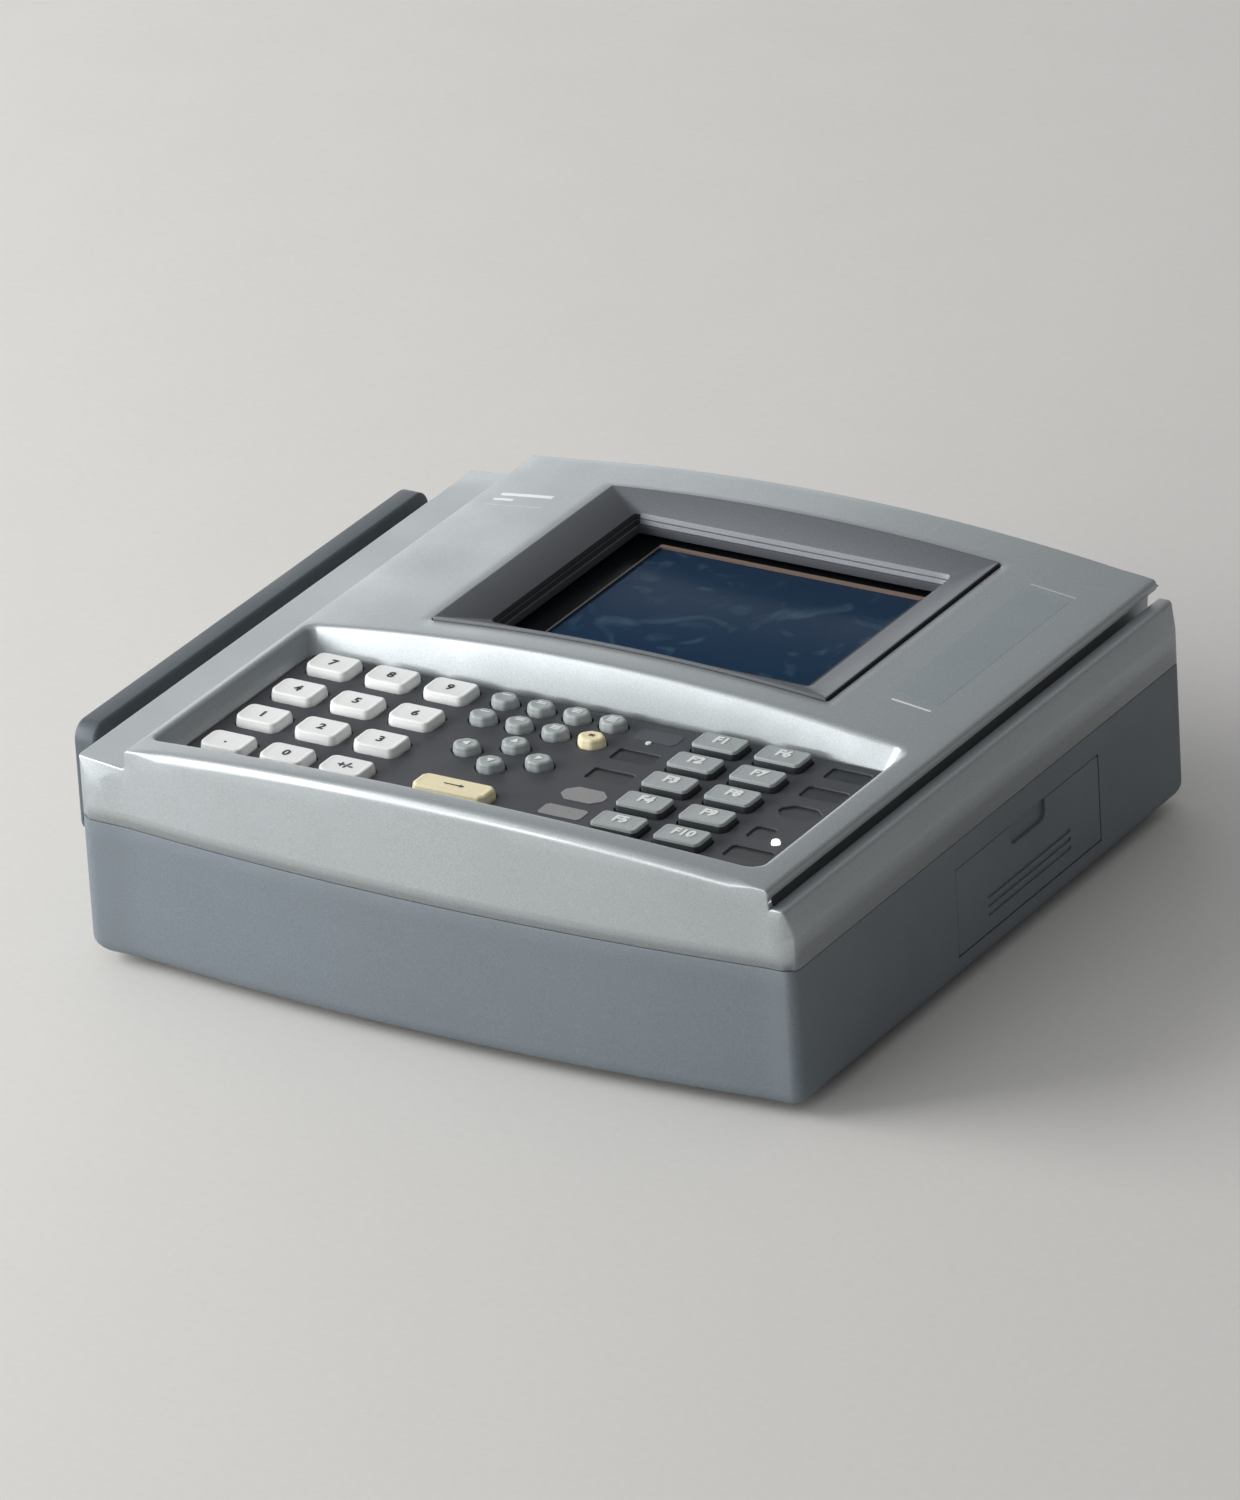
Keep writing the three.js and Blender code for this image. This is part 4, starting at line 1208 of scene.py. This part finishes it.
# ---------------- underside and battery door
def screw_shape(radius, head, socket):
    """A round head with a hexagon socket, standing on z = 0."""
    shape = Shape()
    count = 48
    turn = [2 * math.pi * k / count for k in range(count)]

    def circle(r, z):
        return shape.ring([(r * math.cos(t), r * math.sin(t), z) for t in turn])

    def hexagon(r, z):
        reach = [r * math.cos(math.pi / 6) / math.cos(t % (math.pi / 3) - math.pi / 6) for t in turn]
        return shape.ring([(d * math.cos(t), d * math.sin(t), z) for d, t in zip(reach, turn)])

    outside = [(radius, 0), (radius, head * 0.5), (radius * 0.93, head * 0.85), (radius * 0.8, head)]
    rings = [circle(r, z) for r, z in outside]
    return shape.skin(rings + [hexagon(socket, head), hexagon(socket * 0.97, head * 0.3)])


def underside():
    """Case screws in their wells, the blank rating plate and the rubber feet."""
    for i, (x, y) in enumerate(SCREW_WELLS):
        screw = moved(screw_shape(3.2, 1.5, 1.5), TO_FLOOR, (x, y, FLOOR_Z + 1.8))
        make(f"case_screw_{i}", screw, "screw")
    rating_plate = slab(rect(-29.5, 43.5, -35.5, 7.5), 1.6, FLOOR_Z + 0.15, FLOOR_Z + 0.6)
    make("rating_plate", rating_plate, "shield")
    for node in ("foot_front_left", "foot_front_right", "foot_back_left", "foot_back_right"):
        low, high = design_box(node)
        x, y, _ = (low + high) / 2
        profile = [(0, 0.5), (4.2, 0.5), (4.8, 0.0), (6.4, 0.0)]
        profile += [(6.6 + 1.4 * math.sin(t), 1.4 * (1 - math.cos(t)))
                    for t in np.linspace(0.2, math.pi / 2, 6)]
        profile += [(8.0, high[2] - 0.2), (7.8, high[2]), (0, high[2])]
        make(f"{node}_pad", lathe(profile, (x, y, 0)), "rubber", replaces=node)


def battery_door():
    """The door on the right side, with a finger dip at its top and three grip grooves."""
    (x0, y0, z0), (x1, y1, z1) = design_box("battery_door")
    face = plate(rect(y0, y1, z0, z1), 1.2, rounded_levels(0, x1 - x0, 0.5, 1.2, 4), 5)
    obj = make("battery_door_plate", moved(face, TO_RIGHT, (x0, 0, 0)), "tray", "battery_door",
               replaces="battery_door", sharp=40)
    middle = (y0 + y1) / 2
    dip = slab(rect(middle - 11, middle + 11, z1 - 7, z1 + 2), 3.0, 0, 4, 6)
    tools = [moved(dip, TO_RIGHT, (x1 - 1.2, 0, 0))]
    for z in (z0 + 6, z0 + 9, z0 + 12):
        groove = slab(rect(middle - 26, middle + 26, z - 0.7, z + 0.7), 0.6, 0, 4)
        tools.append(moved(groove, TO_RIGHT, (x1 - 0.5, 0, 0)))
    carve(obj, tools, 40)
    dress(obj, "tray", "battery_door")


# ---------------- back panel
FLANGE_Y = COVER_BACK + GAP


def back_lathe(profile, x, segments, z=PORT_Z):
    """A turned solid along Y; the heights in its profile count from the back wall."""
    return lathe([(r, COVER_BACK + h) for r, h in profile], (x, 0, z), "Y", segments)


def back_plate(shape, y):
    """A shape drawn in (x, z), standing out from y."""
    return moved(shape, TO_BACK, (0, y, 0))


def rf_connector(name, x):
    """A threaded coaxial port on a square flange with four screws."""
    half, thick, spacing = 10.4, 2, 7.8
    square = rect(x - half, x + half, PORT_Z - half, PORT_Z + half)
    flange = plate(square, 2.0, rounded_levels(0, thick, 0.3, 0.2, 2), 5)
    make(f"{name}_flange", back_plate(flange, FLANGE_Y), "nickel")
    for i, (a, b) in enumerate(((-1, -1), (1, -1), (1, 1), (-1, 1))):
        place = (x + a * spacing, FLANGE_Y + thick, PORT_Z + b * spacing)
        make(f"{name}_screw_{i}", moved(screw_shape(1.7, 1.0, 0.8), TO_BACK, place), "screw")
    pitch, start, end = 0.75, 3.6, 11.8
    profile = [(0, -7), (7.5, -7), (7.5, 2.0), (6.6, 2.6), (6.6, 3.4)]
    for k in range(int((end - start) / pitch)):
        h = start + k * pitch
        profile += [(7.3, h), (7.85, h + pitch * 0.4), (7.85, h + pitch * 0.55)]
    profile += [(7.3, end + 0.2), (7.3, 12.6), (6.9, 13.0), (5.1, 13.0), (4.8, 12.7), (4.8, 3.0), (0, 3.0)]
    make(f"{name}_barrel", back_lathe(profile, x, 56), "nickel", replaces=name, sharp=40)
    profile = [(0, 2.9), (4.75, 2.9), (4.75, 5.0), (1.7, 5.0), (1.6, 4.4), (0, 4.4)]
    make(f"{name}_insulator", back_lathe(profile, x, 40), "insulator")
    profile = [(0, 4.2), (1.5, 4.2), (1.5, 10.6), (1.3, 11), (0.8, 11), (0.75, 6), (0, 6)]
    make(f"{name}_contact", back_lathe(profile, x, 32), "gold")


def power_jack():
    """A round plastic socket with a middle pin."""
    profile = [(0, -8), (5.5, -8), (5.5, 0.3), (7.6, 0.3), (8, 0.7), (8, 1.6), (7.6, 2.0), (6.2, 2.2),
               (5.8, 2.8), (5.8, 5.6), (5.4, 6.0), (3.5, 6.0), (3.2, 5.7), (3.2, 0.6), (0, 0.6)]
    shell = back_lathe(profile, POWER_X, 48)
    make("power_jack_shell", shell, "black_plastic", replaces="power_jack")
    pin = back_lathe([(0, 0.4), (1, 0.4), (1, 3.6), (0.6, 4), (0, 4)], POWER_X, 24)
    make("power_jack_pin", pin, "steel")


def data_port():
    """A nine-way port: flange, shell, core with two rows of contacts, and two jack nuts."""
    x, z = DATA_X, PORT_Z
    thick, nut_spacing, contact_pitch = 1.2, 12.5, 2.7
    base = rect(x - 15.4, x + 15.4, z - 6.25, z + 6.25)
    flange = plate(base, 2.0, rounded_levels(0, thick, 0.2, 0.2, 2), 5)
    make("data_port_flange", back_plate(flange, FLANGE_Y), "nickel")
    tapered = [(x - 7.4, z - 4), (x + 7.4, z - 4), (x + 8.6, z + 4), (x - 8.6, z + 4)]
    levels = [(0.8, 0.0), (6.0, 0.0), (6.3, 0.1), (6.5, 0.35), (6.5, 0.5), (6.3, 0.7), (1.2, 0.7)]
    shell = back_plate(plate(tapered, 1.6, levels, 5), COVER_BACK)
    make("data_port_shell", shell, "nickel", replaces="data_port")
    core = plate(tapered, 1.2, [(1.1, 1.0), (5.4, 1.0), (5.6, 1.2)], 5)
    make("data_port_core", back_plate(core, COVER_BACK), "black_plastic")
    profile = [(0, 5.4), (0.75, 5.4), (0.75, 5.75), (0.45, 5.75), (0.4, 5.5), (0, 5.5)]
    for rise, count in ((1.3, 5), (-1.3, 4)):
        for k in range(count):
            contact = back_lathe(profile, x + (k - (count - 1) / 2) * contact_pitch, 16, z + rise)
            make(f"data_port_contact_{count}_{k}", contact, "gold")
    for i, side in enumerate((-1, 1)):
        nut = moved(screw_shape(2.4, 4.5, 1.2), TO_BACK, (x + side * nut_spacing, FLANGE_Y + thick, z))
        make(f"data_port_nut_{i}", nut, "steel")


# ---------------- floor, light and camera
FLOOR_HALF = 6.0
LIGHT_TARGET = Vector((0, 0, 0.05))
# Direction, distance, size and power of each soft light.
LIGHTS = {
    "key": ((-0.80, -0.42, 0.44), 1.8, (1.4, 1.0), 31),
    "front": ((-0.47, -0.87, 0.13), 1.9, (1.5, 0.5), 14),
    "back": ((-0.70, 0.66, 0.20), 1.9, (1.5, 0.7), 5),
}
HORIZON = 0.26
ZENITH = 0.48
CAMERA_DIRECTION = (0.4857, -0.7602, 0.4316)
CAMERA_DISTANCE = 3.85
CAMERA_LENS = 296
CAMERA_ROLL = -3.5


def floor():
    """A pale studio floor."""
    mesh = bpy.data.meshes.new("floor")
    corners = [(a * FLOOR_HALF, b * FLOOR_HALF, 0) for a, b in ((-1, -1), (1, -1), (1, 1), (-1, 1))]
    mesh.from_pydata(corners, [], [(0, 1, 2, 3)])
    obj = link("floor", mesh)
    pale = finish("floor", srgb(222, 220, 216), 0.75, grain_mm=3.0, fleck=0.015, bump_mm=0.0, mottle=0.02)
    obj.data.materials.append(pale)


def area_light(name, direction, distance, size, power):
    """A soft light that faces the object from this direction."""
    light = bpy.data.lights.new(name, "AREA")
    light.shape = "RECTANGLE"
    light.size, light.size_y = size
    light.energy = power
    obj = link(name, light)
    way = Vector(direction).normalized()
    obj.location = LIGHT_TARGET + way * distance
    obj.rotation_euler = way.to_track_quat("Z", "Y").to_euler()


def surroundings():
    """A grey studio that is brighter overhead than at eye level, and darker to the right."""
    world = bpy.data.worlds.new("studio")
    bpy.context.scene.world = world
    world.use_nodes = True
    tree = world.node_tree
    coords = tree.nodes.new("ShaderNodeTexCoord").outputs["Generated"]
    split = add_node(tree, "SeparateXYZ", {"Vector": coords})
    low, high = [[v, v * 1.01, v * 1.03, 1] for v in (HORIZON, ZENITH)]
    upward = map_range(tree, split.outputs["Z"], 0, 1, (0.0, 0.9))
    to_right = map_range(tree, split.outputs["X"], 0, 0.6, (0.0, 0.9))
    grey = mix_color(tree, upward, low, high)
    back = tree.nodes["Background"].inputs
    feed(tree, back["Color"], mix_color(tree, to_right, grey, [0, 0, 0, 1]))
    feed(tree, back["Strength"], 1.0)


def camera():
    """Looks at the object from the front right, a little from above, with a long lens and a slight roll."""
    away = Vector(CAMERA_DIRECTION).normalized()
    low, high = cad_box
    middle = (Vector(low) + Vector(high)) / 2
    data = bpy.data.cameras.new("camera")
    data.lens = CAMERA_LENS
    data.sensor_width = 36
    data.dof.use_dof = False
    data.clip_end = 50
    obj = link("camera", data)
    turned = away.to_track_quat("Z", "Y").to_matrix().to_4x4()
    roll = Matrix.Rotation(math.radians(CAMERA_ROLL), 4, "Z")
    obj.matrix_world = Matrix.Translation(middle + away * CAMERA_DISTANCE) @ turned @ roll
    bpy.context.scene.camera = obj


# ---------------- build
dress_cad_nodes()
front_cover()
rear_cover()
display()
keypad()
cover_prints()
carry_handle()
bracket("handle_bracket_front", -1)
bracket("handle_bracket_back", 1)
underside()
battery_door()
for number, port_x in enumerate(RF_X, 1):
    rf_connector(f"rf_connector_{number}", port_x)
power_jack()
data_port()

bpy.context.scene.view_settings.view_transform = "Standard"
floor()
for light_name, settings in LIGHTS.items():
    area_light(light_name, *settings)
surroundings()
camera()
